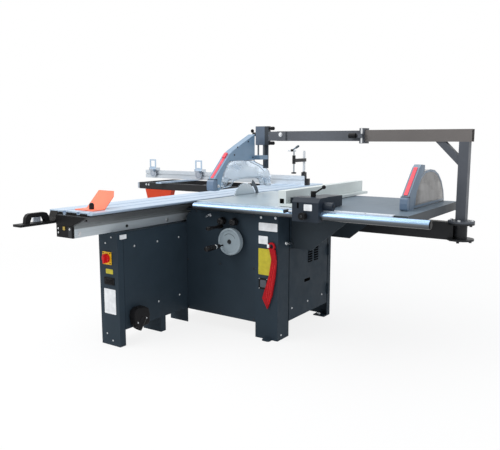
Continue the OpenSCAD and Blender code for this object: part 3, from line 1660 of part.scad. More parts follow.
// The blade's outline: tip, gullet and sloping back of each tooth
function blade_outline(r, n) = [for (i = [0 : n - 1], k = [0 : 3])
    let (a = (i + (k == 0 ? 0 : tooth_shares[k - 1])) * 360 / n,
        q = k == 0 ? r : k == 3 ? r - tooth_h / 6 : r - tooth_h)
    q * [cos(a), sin(a)]];

module saw_blade() {
    color([0.75, 0.77, 0.79]) at_pivot() {
        translate([-blade_t / 2, blade_y, -arbor_drop]) rotate([90, 0, 90]) linear_extrude(blade_t)
            polygon(blade_outline(blade_d / 2, blade_teeth));
        rod_along_x([-blade_t / 2 - flange_t, blade_t / 2 + flange_t], blade_y, -arbor_drop, flange_r);
        rod_along_x([-blade_t / 2 - flange_t - nut_t, 0], blade_y, -arbor_drop, nut_r);
        rod_along_x([0, pulley_x1], blade_y, -arbor_drop, arbor_r);
        rod_along_x([pulley_x0, pulley_x1], blade_y, -arbor_drop, arbor_pulley_r);
    }
}

module scoring_blade() {
    color([0.75, 0.77, 0.79]) at_pivot() {
        translate([-scoring_t / 2, scoring_y, scoring_z]) rotate([90, 0, 90]) linear_extrude(scoring_t)
            polygon(blade_outline(scoring_d / 2, scoring_teeth));
        rod_along_x([-2 * scoring_t, scoring_shaft_l], scoring_y, scoring_z, scoring_shaft_r);
    }
}

module handwheel() {
    y = [wheel_y1 - wheel_t, wheel_y1];
    color([0.62, 0.68, 0.74]) {
        difference() {
            rod_along_y(wheel_x, y, wheel_z, wheel_r);
            rod_along_y(wheel_x, [y[0] + wheel_web, y[1] + over], wheel_z, wheel_r - wheel_rim);
            rod_along_y(wheel_x + grip_at[0], [y[0] - over, y[0] + wheel_web + over], wheel_z + grip_at[1],
                grip_stud_r + run);
        }
        rod_along_y(wheel_x, [y[0] + wheel_web - over, y[1]], wheel_z, wheel_hub_r);
        rod_along_y(wheel_x, [y[1] - over, front + shaft_l], wheel_z, shaft_r);
    }
}

module handwheel_grip() {
    y1 = wheel_y1 - wheel_t;
    x = wheel_x + grip_at[0];
    z = wheel_z + grip_at[1];
    color([0.05, 0.05, 0.05]) {
        rod_along_y(x, [y1 - grip_stud_l, y1 + wheel_web], z, grip_stud_r);
        rod_along_y(x, [y1 - grip_stud_l - grip_l, y1 - grip_stud_l], z, grip_r);
    }
}

// The turning handle for the blade height, in line with its shaft
module height_crank() {
    y1 = front - crank_hub_l;
    color([0.05, 0.05, 0.05]) {
        rod_along_y(crank_x, [y1, front - fit], crank_z, crank_hub_r);
        rod_along_y(crank_x, [front - over, front + shaft_l], crank_z, shaft_r);
        rod_along_y(crank_x, [y1 - crank_grip_l, y1 + over], crank_z, crank_grip_r);
        rod_along_x([crank_x - crank_pin_l, crank_x + crank_pin_l], y1 + crank_hub_l / 2, crank_z,
            crank_pin_r);
    }
}

// A lobed knob on its shaft through the front panel
module scoring_knob(x) {
    y1 = front - knob_gap;
    color([0.05, 0.05, 0.05]) {
        rod_along_y(x, [y1 - knob_l / 2, y1], knob_z, knob_r - knob_lobe_r);
        for (i = [0 : knob_lobes - 1]) {
            rod_along_y(x + (knob_r - knob_lobe_r) * cos(i * 360 / knob_lobes), [y1 - knob_l / 2, y1],
                knob_z + (knob_r - knob_lobe_r) * sin(i * 360 / knob_lobes), knob_lobe_r);
        }
        rod_along_y(x, [y1 - over, front - fit], knob_z, knob_r / 2);
        rod_along_y(x, [front - over, front + knob_l], knob_z, shaft_r);
    }
}

module scoring_knob_left() {
    scoring_knob(knob_xs[0]);
}

module scoring_knob_right() {
    scoring_knob(knob_xs[1]);
}

module push_stick() {
    y = [front - stick_gap - stick_t, front - stick_gap];
    color([0.75, 0.08, 0.12]) difference() {
        union() {
            prism_y(y, spread(stick_shares, stick_x, stick_z, stick_w, stick_l));
            rod_along_y(stick_x, y, stick_z, ring_r);
        }
        rod_along_y(stick_x, y + [-over, over], stick_z, ring_hole_r);
    }
}

cabinet_frame();
cabinet_panels();
side_door();
front_cabinet();
front_cabinet_cover();
power_inlet();
vent_grille();
switch_plate();
switch_knob();
main_table();
extension_table();
table_brackets();
front_rail();
slide_beam();
beam_end_caps();
sliding_table();
push_handle();
edging_shoe();
outrigger_frame();
outrigger_bar();
crosscut_fence();
flip_stop_left();
flip_stop_right();
clamp_column();
clamp_spindle();
swing_arm();
swing_extension();
rip_fence_body();
rip_fence_bar();
fence_lever();
fence_clamp();
fence_front_knob();
fence_side_knob();
support_beam();
overhead_post();
arm_outer_tube();
arm_collar();
arm_lock_knob();
arm_inner_tube();
hood_hanger();
hood_shell();
hood_window();
hood_trim();
spare_hood_shell();
spare_hood_window();
trunnions();
tilt_frame();
lift_carriage();
motor();
motor_pulley();
riving_knife();
drive_belt();
saw_blade();
scoring_blade();
handwheel();
handwheel_grip();
height_crank();
scoring_knob_left();
scoring_knob_right();
push_stick();
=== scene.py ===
"""Dresses the sliding table saw: materials for every solid, small fittings, light and camera."""
import math

import bmesh
import bpy
from mathutils import Matrix, Vector


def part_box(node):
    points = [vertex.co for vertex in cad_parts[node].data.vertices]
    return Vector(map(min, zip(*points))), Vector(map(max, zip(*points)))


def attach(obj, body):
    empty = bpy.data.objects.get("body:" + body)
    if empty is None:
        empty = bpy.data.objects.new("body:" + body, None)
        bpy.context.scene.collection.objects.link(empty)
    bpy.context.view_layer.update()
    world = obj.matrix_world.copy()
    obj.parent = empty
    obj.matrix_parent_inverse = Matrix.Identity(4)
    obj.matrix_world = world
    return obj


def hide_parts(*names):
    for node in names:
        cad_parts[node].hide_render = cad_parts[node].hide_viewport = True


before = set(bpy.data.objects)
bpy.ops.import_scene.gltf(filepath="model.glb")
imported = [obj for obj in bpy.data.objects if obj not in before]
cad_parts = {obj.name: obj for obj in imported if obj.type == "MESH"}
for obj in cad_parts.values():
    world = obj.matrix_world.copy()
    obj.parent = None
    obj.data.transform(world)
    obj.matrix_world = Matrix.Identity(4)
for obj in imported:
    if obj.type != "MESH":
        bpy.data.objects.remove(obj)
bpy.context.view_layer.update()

# Camera, solved from the photograph's straight edges
CAMERA_AT = (2.3822, -3.4869, 1.290)
CAMERA_YAW = 34.435
CAMERA_DOWN = 8.208
CAMERA_LENS = 42.36
SENSOR = 36.0
CLIP_END = 200

# Most of a noise's values lie between these two
NOISE_LOW, NOISE_HIGH = 0.3, 0.7


# Materials

def shader(name):
    """A new node material and its tree, Principled shader and object coordinates."""
    m = bpy.data.materials.new(name)
    m.use_nodes = True
    t = m.node_tree
    coord = t.nodes.new("ShaderNodeTexCoord")
    return m, t, t.nodes["Principled BSDF"], coord.outputs["Object"]


def noise(t, vector, scale, detail=3.0, stretch=(1, 1, 1)):
    """Noise in object space, stretched along the axes. Gives a factor socket."""
    mapping = t.nodes.new("ShaderNodeMapping")
    mapping.inputs["Scale"].default_value = stretch
    t.links.new(vector, mapping.inputs["Vector"])
    n = t.nodes.new("ShaderNodeTexNoise")
    n.inputs["Scale"].default_value = scale
    n.inputs["Detail"].default_value = detail
    t.links.new(mapping.outputs["Vector"], n.inputs["Vector"])
    return n.outputs["Fac"]


def combine(t, operation, *values):
    """A math node over sockets and numbers. Gives a value socket."""
    n = t.nodes.new("ShaderNodeMath")
    n.operation = operation
    for socket, value in zip(n.inputs, values):
        if isinstance(value, float):
            socket.default_value = value
        else:
            t.links.new(value, socket)
    return n.outputs["Value"]


def ramp(t, fac, stops):
    """A colour ramp through (place, colour) stops. Gives a colour socket."""
    r = t.nodes.new("ShaderNodeValToRGB")
    e = r.color_ramp.elements
    while len(e) < len(stops):
        e.new(0.5)
    for item, (place, colour) in zip(e, stops):
        item.position = place
        item.color = (*colour, 1)
    t.links.new(fac, r.inputs["Fac"])
    return r.outputs["Color"]


def shade(colour, k):
    """A colour made darker or lighter by a factor."""
    return tuple(min(1.0, c * k) for c in colour)


def tones(t, fac, colour, dark, light):
    """A colour that a noise varies between two shares of it. Gives a colour socket."""
    return ramp(t, fac, [(NOISE_LOW, shade(colour, dark)), (NOISE_HIGH, shade(colour, light))])


def spread_range(t, fac, low, high, start=NOISE_LOW, end=NOISE_HIGH):
    """A factor from start to end, mapped to low and high. Gives a value socket."""
    r = t.nodes.new("ShaderNodeMapRange")
    for name, value in (("From Min", start), ("From Max", end), ("To Min", low), ("To Max", high)):
        r.inputs[name].default_value = value
    t.links.new(fac, r.inputs["Value"])
    return r.outputs["Result"]


def split(t, vector):
    """The X, Y and Z sockets of a vector."""
    parts = t.nodes.new("ShaderNodeSeparateXYZ")
    t.links.new(vector, parts.inputs["Vector"])
    return parts.outputs


def bump(t, bsdf, height, strength, distance):
    """Raises the surface by a height socket."""
    b = t.nodes.new("ShaderNodeBump")
    b.inputs["Strength"].default_value = strength
    b.inputs["Distance"].default_value = distance
    t.links.new(height, b.inputs["Height"])
    t.links.new(b.outputs["Normal"], bsdf.inputs["Normal"])


def paint(name, colour, rough=0.42, vary=0.08, coat=0.0, gloss=0.22, wander=1.0):
    """Sprayed paint: cloudy colour, fine peel, roughness that wanders."""
    m, t, bsdf, at = shader(name)
    cloud = noise(t, at, scale=5.0, detail=4.0)
    t.links.new(tones(t, cloud, colour, 1 - vary, 1 + vary), bsdf.inputs["Base Color"])
    smears = noise(t, at, scale=14.0)
    t.links.new(spread_range(t, smears, rough - 0.06 * wander, rough + 0.08 * wander),
                bsdf.inputs["Roughness"])
    bump(t, bsdf, noise(t, at, scale=420.0, detail=2.0), strength=0.12, distance=0.0006)
    bsdf.inputs["Coat Weight"].default_value = coat
    bsdf.inputs["Specular IOR Level"].default_value = gloss
    return m


def plastic(name, colour, rough=0.5, gloss=0.3):
    """Moulded plastic with a fine spark texture."""
    m, t, bsdf, at = shader(name)
    cloud = noise(t, at, scale=30.0)
    t.links.new(tones(t, cloud, colour, 0.9, 1.12), bsdf.inputs["Base Color"])
    smears = noise(t, at, scale=60.0)
    t.links.new(spread_range(t, smears, rough - 0.08, rough + 0.08), bsdf.inputs["Roughness"])
    bump(t, bsdf, noise(t, at, scale=900.0, detail=2.0), strength=0.2, distance=0.0004)
    bsdf.inputs["Specular IOR Level"].default_value = gloss
    return m


def metal(name, colour, rough=0.3, along=(1, 1, 1), metallic=1.0):
    """Drawn, milled or ground metal. The scratches run along the axis with the small stretch."""
    m, t, bsdf, at = shader(name)
    lines = noise(t, at, scale=260.0, detail=5.0, stretch=along)
    cloud = noise(t, at, scale=3.5)
    half = 0.5
    both = combine(t, "MULTIPLY_ADD", lines, half, combine(t, "MULTIPLY", cloud, half))
    t.links.new(tones(t, both, colour, 0.88, 1.08), bsdf.inputs["Base Color"])
    t.links.new(spread_range(t, lines, rough - 0.06, rough + 0.10), bsdf.inputs["Roughness"])
    bump(t, bsdf, lines, strength=0.12, distance=0.0003)
    bsdf.inputs["Metallic"].default_value = metallic
    return m


def cast(name, colour, rough=0.6, metallic=0.35):
    """Sand-cast metal under a thin coat."""
    m, t, bsdf, at = shader(name)
    cloud = noise(t, at, scale=25.0, detail=6.0)
    t.links.new(tones(t, cloud, colour, 0.8, 1.15), bsdf.inputs["Base Color"])
    smears = noise(t, at, scale=40.0)
    t.links.new(spread_range(t, smears, rough - 0.1, rough + 0.1), bsdf.inputs["Roughness"])
    bump(t, bsdf, noise(t, at, scale=240.0, detail=4.0), strength=0.5, distance=0.001)
    bsdf.inputs["Metallic"].default_value = metallic
    return m


def clear(name, colour, rough, haze_and_sheen, cloud_share=0.96, most=1.0):
    """Clear moulded plastic, darker in clouds down to a share of its colour.

    Soft patches let through between most of the light and all of it less the haze; these whitish patches
    are partly haze and partly painted highlights.
    """
    m, t, bsdf, at = shader(name)
    clouds = noise(t, at, scale=15.0, detail=5.0, stretch=(1, 1, 0.6))
    t.links.new(ramp(t, clouds, [(0.38, shade(colour, cloud_share)), (0.62, colour)]),
                bsdf.inputs["Base Color"])
    smears = noise(t, at, scale=30.0, detail=5.0)
    t.links.new(spread_range(t, smears, rough, rough + 0.06), bsdf.inputs["Roughness"])
    # Whitish patches, partly haze and partly painted highlights
    soft = noise(t, at, scale=6.5, detail=1.0, stretch=(1, 0.6, 1.7))
    patches = spread_range(t, soft, -0.5, 1.5)
    t.links.new(spread_range(t, patches, most, 1.0 - haze_and_sheen), bsdf.inputs["Transmission Weight"])
    bsdf.inputs["IOR"].default_value = 1.2
    return m


def by_height(name, stops, low, high, rough=0.36, metallic=0.6, along=(1, 0.02, 1)):
    """Metal whose colour changes with height: painted shade and painted reflection in bands, such as a
    beam's side painted darker under the deck.
    """
    m, t, bsdf, at = shader(name)
    level = spread_range(t, split(t, at)["Z"], 0.0, 1.0, low, high)
    lines = noise(t, at, scale=200.0, detail=4.0, stretch=along)
    mix = t.nodes.new("ShaderNodeMix")
    mix.data_type = "RGBA"
    mix.blend_type = "MULTIPLY"
    mix.inputs["Factor"].default_value = 1.0
    t.links.new(ramp(t, level, stops), mix.inputs["A"])
    t.links.new(tones(t, lines, WHITE, 0.86, 1.0), mix.inputs["B"])
    t.links.new(mix.outputs["Result"], bsdf.inputs["Base Color"])
    t.links.new(spread_range(t, lines, rough - 0.05, rough + 0.1), bsdf.inputs["Roughness"])
    bump(t, bsdf, lines, strength=0.1, distance=0.0003)
    bsdf.inputs["Metallic"].default_value = metallic
    return m


def inside(t, vector, low, high):
    """A factor of 1 inside a box, in the frame of the solids, and 0 outside it. None is no limit."""
    parts = split(t, vector)
    both = None
    for axis, a, b in zip("XYZ", low, high):
        for operation, limit in (("GREATER_THAN", a), ("LESS_THAN", b)):
            if limit is None:
                continue
            test = combine(t, operation, parts[axis], limit)
            both = test if both is None else combine(t, "MULTIPLY", both, test)
    return both


def zoned(m, *zones):
    """Gives parts of a solid their own colour: each zone is a low corner, a high corner and a colour."""
    t = m.node_tree
    bsdf = t.nodes["Principled BSDF"]
    coord = t.nodes.new("ShaderNodeTexCoord").outputs["Object"]
    for low, high, colour in zones:
        mix = t.nodes.new("ShaderNodeMix")
        mix.data_type = "RGBA"
        t.links.new(inside(t, coord, low, high), mix.inputs["Factor"])
        t.links.new(bsdf.inputs["Base Color"].links[0].from_socket, mix.inputs["A"])
        t.links.new(tones(t, noise(t, coord, scale=90.0), colour, 0.9, 1.06), mix.inputs["B"])
        t.links.new(mix.outputs["Result"], bsdf.inputs["Base Color"])
    return m


# A zone's corner without limits, and the way a metal's scratches run
ANY = (None, None, None)
ALONG_X, ALONG_Y, ALONG_Z = (0.02, 1, 1), (1, 0.02, 1), (1, 1, 0.05)

WHITE = (1.0, 1.0, 1.0)
CHROME_TONE = (0.66, 0.69, 0.72)
BLACK_TONE = (0.010, 0.010, 0.011)
# Painted shade: a darker tone on the extension table's front and right side faces
PAINTED_SIDE_SHADE = (0.060, 0.068, 0.076)

# Paint
CABINET = paint("cabinet_paint", (0.026, 0.040, 0.054), 0.5, gloss=0.10)
PANEL = paint("panel_paint", (0.023, 0.036, 0.049), 0.46, gloss=0.12)
BRACKET = paint("bracket_paint", (0.036, 0.047, 0.057), 0.46, gloss=0.12)
BLACK_PAINT = paint("black_paint", (0.016, 0.017, 0.019), 0.4)
GREY_PAINT = paint("grey_paint", (0.148, 0.136, 0.130), 0.45)
POST_PAINT = paint("post_paint", (0.085, 0.093, 0.108), 0.45)
INNER_GREY = paint("inner_grey_paint", (0.100, 0.107, 0.122), 0.4)
# The hood's paint: its chrome guide rods are painted dark grey as a painted reflection
HOOD_PAINT = zoned(
    paint("hood_paint", (0.165, 0.260, 0.370), 0.34, coat=0.2, gloss=0.4),
    ((-0.21, 0.372, 1.176), (-0.13, 0.394, 1.6), (0.14, 0.16, 0.18)),
    ((-0.30, 0.3995, 1.0), (0.0, 0.5, 1.6), (0.050, 0.060, 0.075)))
SPARE_PAINT = paint("spare_hood_paint", (0.125, 0.182, 0.250), 0.34, coat=0.2, gloss=0.4)
HANGER_PAINT = zoned(
    paint("hanger_paint", (0.105, 0.135, 0.180), 0.4),
    ((-0.122, None, None), ANY, (0.038, 0.045, 0.055)),
    (ANY, (-0.2065, None, None), BLACK_TONE))
NOSE_PAINT = paint("nose_paint", (0.120, 0.180, 0.265), 0.36, coat=0.2, gloss=0.4)
SLATE_PAINT = paint("slate_paint", (0.019, 0.027, 0.039), 0.38, gloss=0.18)
# The extension table's paint, with its right side and front face painted darker as painted shade
TABLE_PAINT = zoned(
    paint("table_paint", (0.125, 0.165, 0.205), 0.44, vary=0.015, gloss=0.12, wander=0.2),
    ((1.299, None, None), ANY, PAINTED_SIDE_SHADE),
    (ANY, (None, -0.394, None), PAINTED_SIDE_SHADE))
CORAL_PAINT = zoned(
    paint("coral_paint", (0.88, 0.20, 0.115), 0.42),
    ((-0.358, -1.186, 0.8865), (-0.324, -1.151, None), BLACK_TONE))
ORANGE_PAINT = paint("orange_paint", (0.52, 0.046, 0.012), 0.42)
MOTOR_PAINT = paint("motor_paint", (0.060, 0.090, 0.120), 0.45)
WHEEL = paint("wheel_paint", (0.26, 0.315, 0.35), 0.36, coat=0.2)

# Plastic and rubber
PINK_RED = plastic("stripe_red", (0.80, 0.085, 0.115), 0.36)
STICK_RED = plastic("stick_red", (0.36, 0.006, 0.011), 0.4, gloss=0.14)
SWITCH_RED = plastic("switch_red", (0.62, 0.012, 0.014), 0.3)
YELLOW = plastic("yellow_plate", (0.84, 0.48, 0.015), 0.35)
OCHRE = plastic("ochre_cap", (0.42, 0.30, 0.060), 0.4)
LEMON = plastic("lemon_plate", (0.50, 0.43, 0.030), 0.4)
BLACK = plastic("black_plastic", BLACK_TONE, 0.42, gloss=0.10)
# Matt black for the door's seam and the strip's bolts, and painted shade in slits, slots and openings
SEAM_AND_SHADE_BLACK = plastic("seam_and_painted_shade_black", (0.003, 0.003, 0.003), 0.9, gloss=0.0)
GLOSS_BLACK = plastic("gloss_black", BLACK_TONE, 0.2, gloss=0.2)
T_HANDLE = zoned(
    plastic("handle_plastic", BLACK_TONE, 0.36),
    ((0.5945, None, None), ANY, CHROME_TONE))
RUBBER = plastic("belt_rubber", (0.012, 0.012, 0.012), 0.75)
# Both windows' whitish patches are partly haze and partly painted highlights
CLEAR = clear("clear_window", (0.88, 0.94, 1.0), rough=0.03, haze_and_sheen=0.46)
SMOKED = clear("smoked_window", (0.43, 0.42, 0.41), rough=0.06, haze_and_sheen=0.6, cloud_share=0.78, most=0.55)
RIM_CLEAR = plastic("rim_plastic", (0.27, 0.32, 0.38), 0.25)
HANDLE_GREY = plastic("handle_grey", (0.52, 0.57, 0.64), 0.4)
INSERT_GREY = plastic("insert_grey", (0.36, 0.40, 0.46), 0.4)
WHITE_PLATE = plastic("white_plate", (0.74, 0.76, 0.78), 0.4)

# Metal
CAST_TABLE = metal("ground_table", (0.44, 0.53, 0.585), 0.34, (1, 0.03, 1), 0.75)
# The rail's chrome painted in bands by height, dark below and pale blue on top: painted reflection. The
# strip's zone is its own colour.
RAIL = zoned(
    by_height("rail_chrome",
              [(0.0, (0.035, 0.040, 0.045)), (0.34, (0.10, 0.11, 0.12)), (0.50, (0.16, 0.18, 0.20)),
               (0.58, (0.28, 0.42, 0.60)), (1.0, (0.32, 0.47, 0.66))],
              low=0.824, high=0.874, rough=0.24, metallic=0.7, along=ALONG_X),
    ((None, -0.4165, None), ANY, (0.60, 0.65, 0.74)))
BRIGHT = metal("bright_steel", (0.72, 0.74, 0.76), 0.22, ALONG_X)
ZINC = metal("zinc_steel", (0.66, 0.68, 0.70), 0.3)
BLADE = metal("blade_steel", (0.44, 0.50, 0.55), 0.26)
DARK_STEEL = metal("dark_steel", (0.055, 0.058, 0.062), 0.36)
ANODISED = metal("anodised", (0.45, 0.57, 0.71), 0.34, ALONG_Y, 0.55)
RIP_ALU = metal("rip_aluminium", (0.61, 0.67, 0.665), 0.4, ALONG_Y, 0.2)
STRIP = metal("strip_aluminium", (0.62, 0.68, 0.74), 0.4, ALONG_X, 0.3)
KNIFE = metal("knife_steel", (0.085, 0.105, 0.125), 0.34)
FENCE_ALU = zoned(
    metal("fence_aluminium", (0.59, 0.645, 0.70), 0.34, ALONG_X, 0.55),
    ((-0.2662, None, None), ANY, BLACK_TONE))
# The beam's side painted darker above its lower band, darkest up under the deck: painted shade under the
# deck
BEAM = by_height(
    "beam_metal",
    [(0.0, (0.60, 0.66, 0.70)), (0.39, (0.58, 0.64, 0.68)), (0.42, (0.25, 0.27, 0.28)),
     (0.62, (0.24, 0.26, 0.27)), (0.68, (0.15, 0.155, 0.16)), (1.0, (0.09, 0.095, 0.10))],
    low=0.725, high=0.856, metallic=0.35)
CLAMP = zoned(
    metal("clamp_metal", (0.016, 0.017, 0.019), 0.32, ALONG_Z, 0.5),
    ((-0.2975, 1.2685, 1.004), (-0.2705, 1.2955, None), CHROME_TONE))
SPINDLE = zoned(
    metal("spindle_steel", (0.34, 0.37, 0.40), 0.3),
    (ANY, (None, None, 1.006), BLACK_TONE))
CASTING = cast("casting", (0.14, 0.15, 0.16))

NODE_MATERIALS = {
    CABINET: ["cabinet_frame", "side_door", "front_cabinet"],
    PANEL: ["cabinet_panels", "front_cabinet_cover"],
    BRACKET: ["table_brackets"],
    BLACK: ["power_inlet", "vent_grille", "push_handle", "fence_lever", "fence_front_knob",
            "arm_lock_knob", "handwheel_grip", "height_crank", "scoring_knob_left",
            "scoring_knob_right", "beam_end_caps"],
    YELLOW: ["switch_plate"],
    SWITCH_RED: ["switch_knob"],
    PINK_RED: ["hood_trim"],
    STICK_RED: ["push_stick"],
    CAST_TABLE: ["main_table"],
    TABLE_PAINT: ["extension_table"],
    RAIL: ["front_rail"],
    CLAMP: ["clamp_column"],
    SPINDLE: ["clamp_spindle"],
    T_HANDLE: ["fence_clamp"],
    BLADE: ["saw_blade", "scoring_blade"],
    ANODISED: ["sliding_table", "outrigger_bar", "flip_stop_left", "flip_stop_right"],
    RIP_ALU: ["rip_fence_bar"],
    FENCE_ALU: ["crosscut_fence"],
    BEAM: ["slide_beam"],
    CORAL_PAINT: ["edging_shoe"],
    BLACK_PAINT: ["outrigger_frame", "swing_arm", "support_beam"],
    ORANGE_PAINT: ["swing_extension"],
    SLATE_PAINT: ["rip_fence_body", "fence_side_knob"],
    GREY_PAINT: ["arm_outer_tube"],
    POST_PAINT: ["overhead_post", "arm_collar"],
    INNER_GREY: ["arm_inner_tube"],
    HANGER_PAINT: ["hood_hanger"],
    HOOD_PAINT: ["hood_shell"],
    SPARE_PAINT: ["spare_hood_shell"],
    CLEAR: ["hood_window"],
    SMOKED: ["spare_hood_window"],
    CASTING: ["trunnions", "tilt_frame", "lift_carriage", "motor_pulley"],
    MOTOR_PAINT: ["motor"],
    KNIFE: ["riving_knife"],
    RUBBER: ["drive_belt"],
    WHEEL: ["handwheel"],
}
for material, nodes in NODE_MATERIALS.items():
    for node in nodes:
        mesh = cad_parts[node].data
        mesh.materials.clear()
        mesh.materials.append(material)


# Small fittings. Places are in metres, in the frame of the solids.

FRONT, BACK, LEFT, RIGHT, UP = (0, -1, 0), (0, 1, 0), (-1, 0, 0), (1, 0, 0), (0, 0, 1)
FACING_FRONT = Matrix.Rotation(math.pi / 2, 4, "X")
FACING_RIGHT = Matrix.Rotation(math.pi / 2, 4, "Z") @ FACING_FRONT
FACING_LEFT = Matrix.Rotation(-math.pi / 2, 4, "Z") @ FACING_FRONT
FACING_UP = Matrix.Identity(4)
SIDEWAYS = Matrix(((0, 0, 1, 0), (1, 0, 0, 0), (0, 1, 0, 0), (0, 0, 0, 1)))

PANEL_FACE = -0.370  # y of the front panel and the front posts
DOOR_FACE = 0.460  # x of the side door and the right posts
BEAM_FACE = -0.360  # x of the slide beam's right side
PLATE = 0.001  # thickness of a blank plate
FILM = 0.0006  # thickness of a film drawn on a face: a dark seam, or painted shade in a slit or an opening
RIM = 0.0012  # thickness of a window's rim
WINDOW_WALL = 0.0025


def add(name, bm, material, body, bevel=0.0):
    """Makes a bmesh a piece that rides on a body, with its edges softened."""
    bmesh.ops.recalc_face_normals(bm, faces=bm.faces)
    me = bpy.data.meshes.new(name)
    bm.to_mesh(me)
    bm.free()
    me.materials.append(material)
    o = bpy.data.objects.new(name, me)
    bpy.context.collection.objects.link(o)
    if bevel:
        edge = o.modifiers.new("edge", "BEVEL")
        edge.width = bevel
        edge.segments = 2
        edge.limit_method = "ANGLE"
    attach(o, body)
    return o


def turn_to(axis):
    """A matrix that turns +Z to an axis."""
    return Vector(UP).rotation_difference(Vector(axis)).to_matrix().to_4x4()


def polar(r, a):
    """The point at a radius and an angle in radians."""
    return r * math.cos(a), r * math.sin(a)


def neighbours(n):
    """Each index round a ring of n points, with the next one."""
    return [(i, (i + 1) % n) for i in range(n)]


def lathe(bm, at, axis, profile, sides=28):
    """Turns a profile of (radius, height) points about an axis through a place."""
    place = Matrix.Translation(at) @ turn_to(axis)
    rings = []
    for r, h in profile:
        if r == 0:
            points = [(0, 0)]
        else:
            points = [polar(r, 2 * math.pi * i / sides) for i in range(sides)]
        rings.append([bm.verts.new(place @ Vector((x, y, h))) for x, y in points])
    for a, b in zip(rings, rings[1:]):
        for i, j in neighbours(sides):
            if len(a) == 1:
                bm.faces.new((a[0], b[i], b[j]))
            elif len(b) == 1:
                bm.faces.new((a[j], a[i], b[0]))
            else:
                bm.faces.new((a[i], b[i], b[j], a[j]))


def prism(bm, place, outline, height):
    """Draws an outline of (x, y) points up by a height, then moves it by a matrix."""
    low = [bm.verts.new(place @ Vector((x, y, 0))) for x, y in outline]
    high = [bm.verts.new(place @ Vector((x, y, height))) for x, y in outline]
    bm.faces.new(list(reversed(low)))
    bm.faces.new(high)
    for i, j in neighbours(len(outline)):
        bm.faces.new((low[i], low[j], high[j], high[i]))


def side_prism(bm, x0, width, outline):
    """Draws an outline of (y, z) points along X."""
    prism(bm, Matrix.Translation((x0, 0, 0)) @ SIDEWAYS, outline, width)


def front_prism(bm, y, outline, depth):
    """Draws an outline of (x, z) points forward from a plane at y."""
    prism(bm, Matrix.Translation((0, y, 0)) @ FACING_FRONT, outline, depth)


def rounded(w, h, r, steps=4):
    """A rectangle's outline with round corners, about its middle."""
    points = []
    x, y = w / 2 - r, h / 2 - r
    for cx, cy, start in ((x, y, 0), (-x, y, 90), (-x, -y, 180), (x, -y, 270)):
        for i in range(steps + 1):
            px, py = polar(r, math.radians(start + 90 * i / steps))
            points.append((cx + px, cy + py))
    return points


def plate(bm, at, facing, w, h, t=PLATE, r=0.004):
    """A thin plate with round corners, lying on a face."""
    prism(bm, Matrix.Translation(at) @ facing, rounded(w, h, r), t)


def screw(bm, at, axis, r):
    """A cap screw's head with its socket."""
    h = 0.6 * r
    lathe(bm, at, axis, [(0, 0.35 * h), (0.45 * r, 0.35 * h), (0.45 * r, h), (0.8 * r, h),
                         (r, 0.65 * h), (r, 0)], sides=18)


def hex_bolt(bm, at, axis, r):
    """A hexagon bolt's head on its washer."""
    washer = 0.25 * r
    lathe(bm, at, axis, [(0, washer), (1.5 * r, washer), (1.5 * r, 0)], sides=24)
    place = Matrix.Translation(at) @ turn_to(axis) @ Matrix.Translation((0, 0, washer))
    prism(bm, place, [polar(r, math.radians(60 * i)) for i in range(6)], 0.75 * r)


def flat(name, material, body, at, facing, w, h, t=PLATE, r=0.004, bevel=0.0):
    """A piece of one plate."""
    bm = bmesh.new()
    plate(bm, at, facing, w, h, t, r)
    return add(name, bm, material, body, bevel)


def turned(name, material, body, at, axis, profile, sides=28, bevel=0.0):
    """A piece of one turned profile."""
    bm = bmesh.new()
    lathe(bm, at, axis, profile, sides)
    return add(name, bm, material, body, bevel)


def heads(name, make, places, axis, r, material, body):
    """A piece of screw or bolt heads at some places."""
    bm = bmesh.new()
    for at in places:
        make(bm, at, axis, r)
    return add(name, bm, material, body)


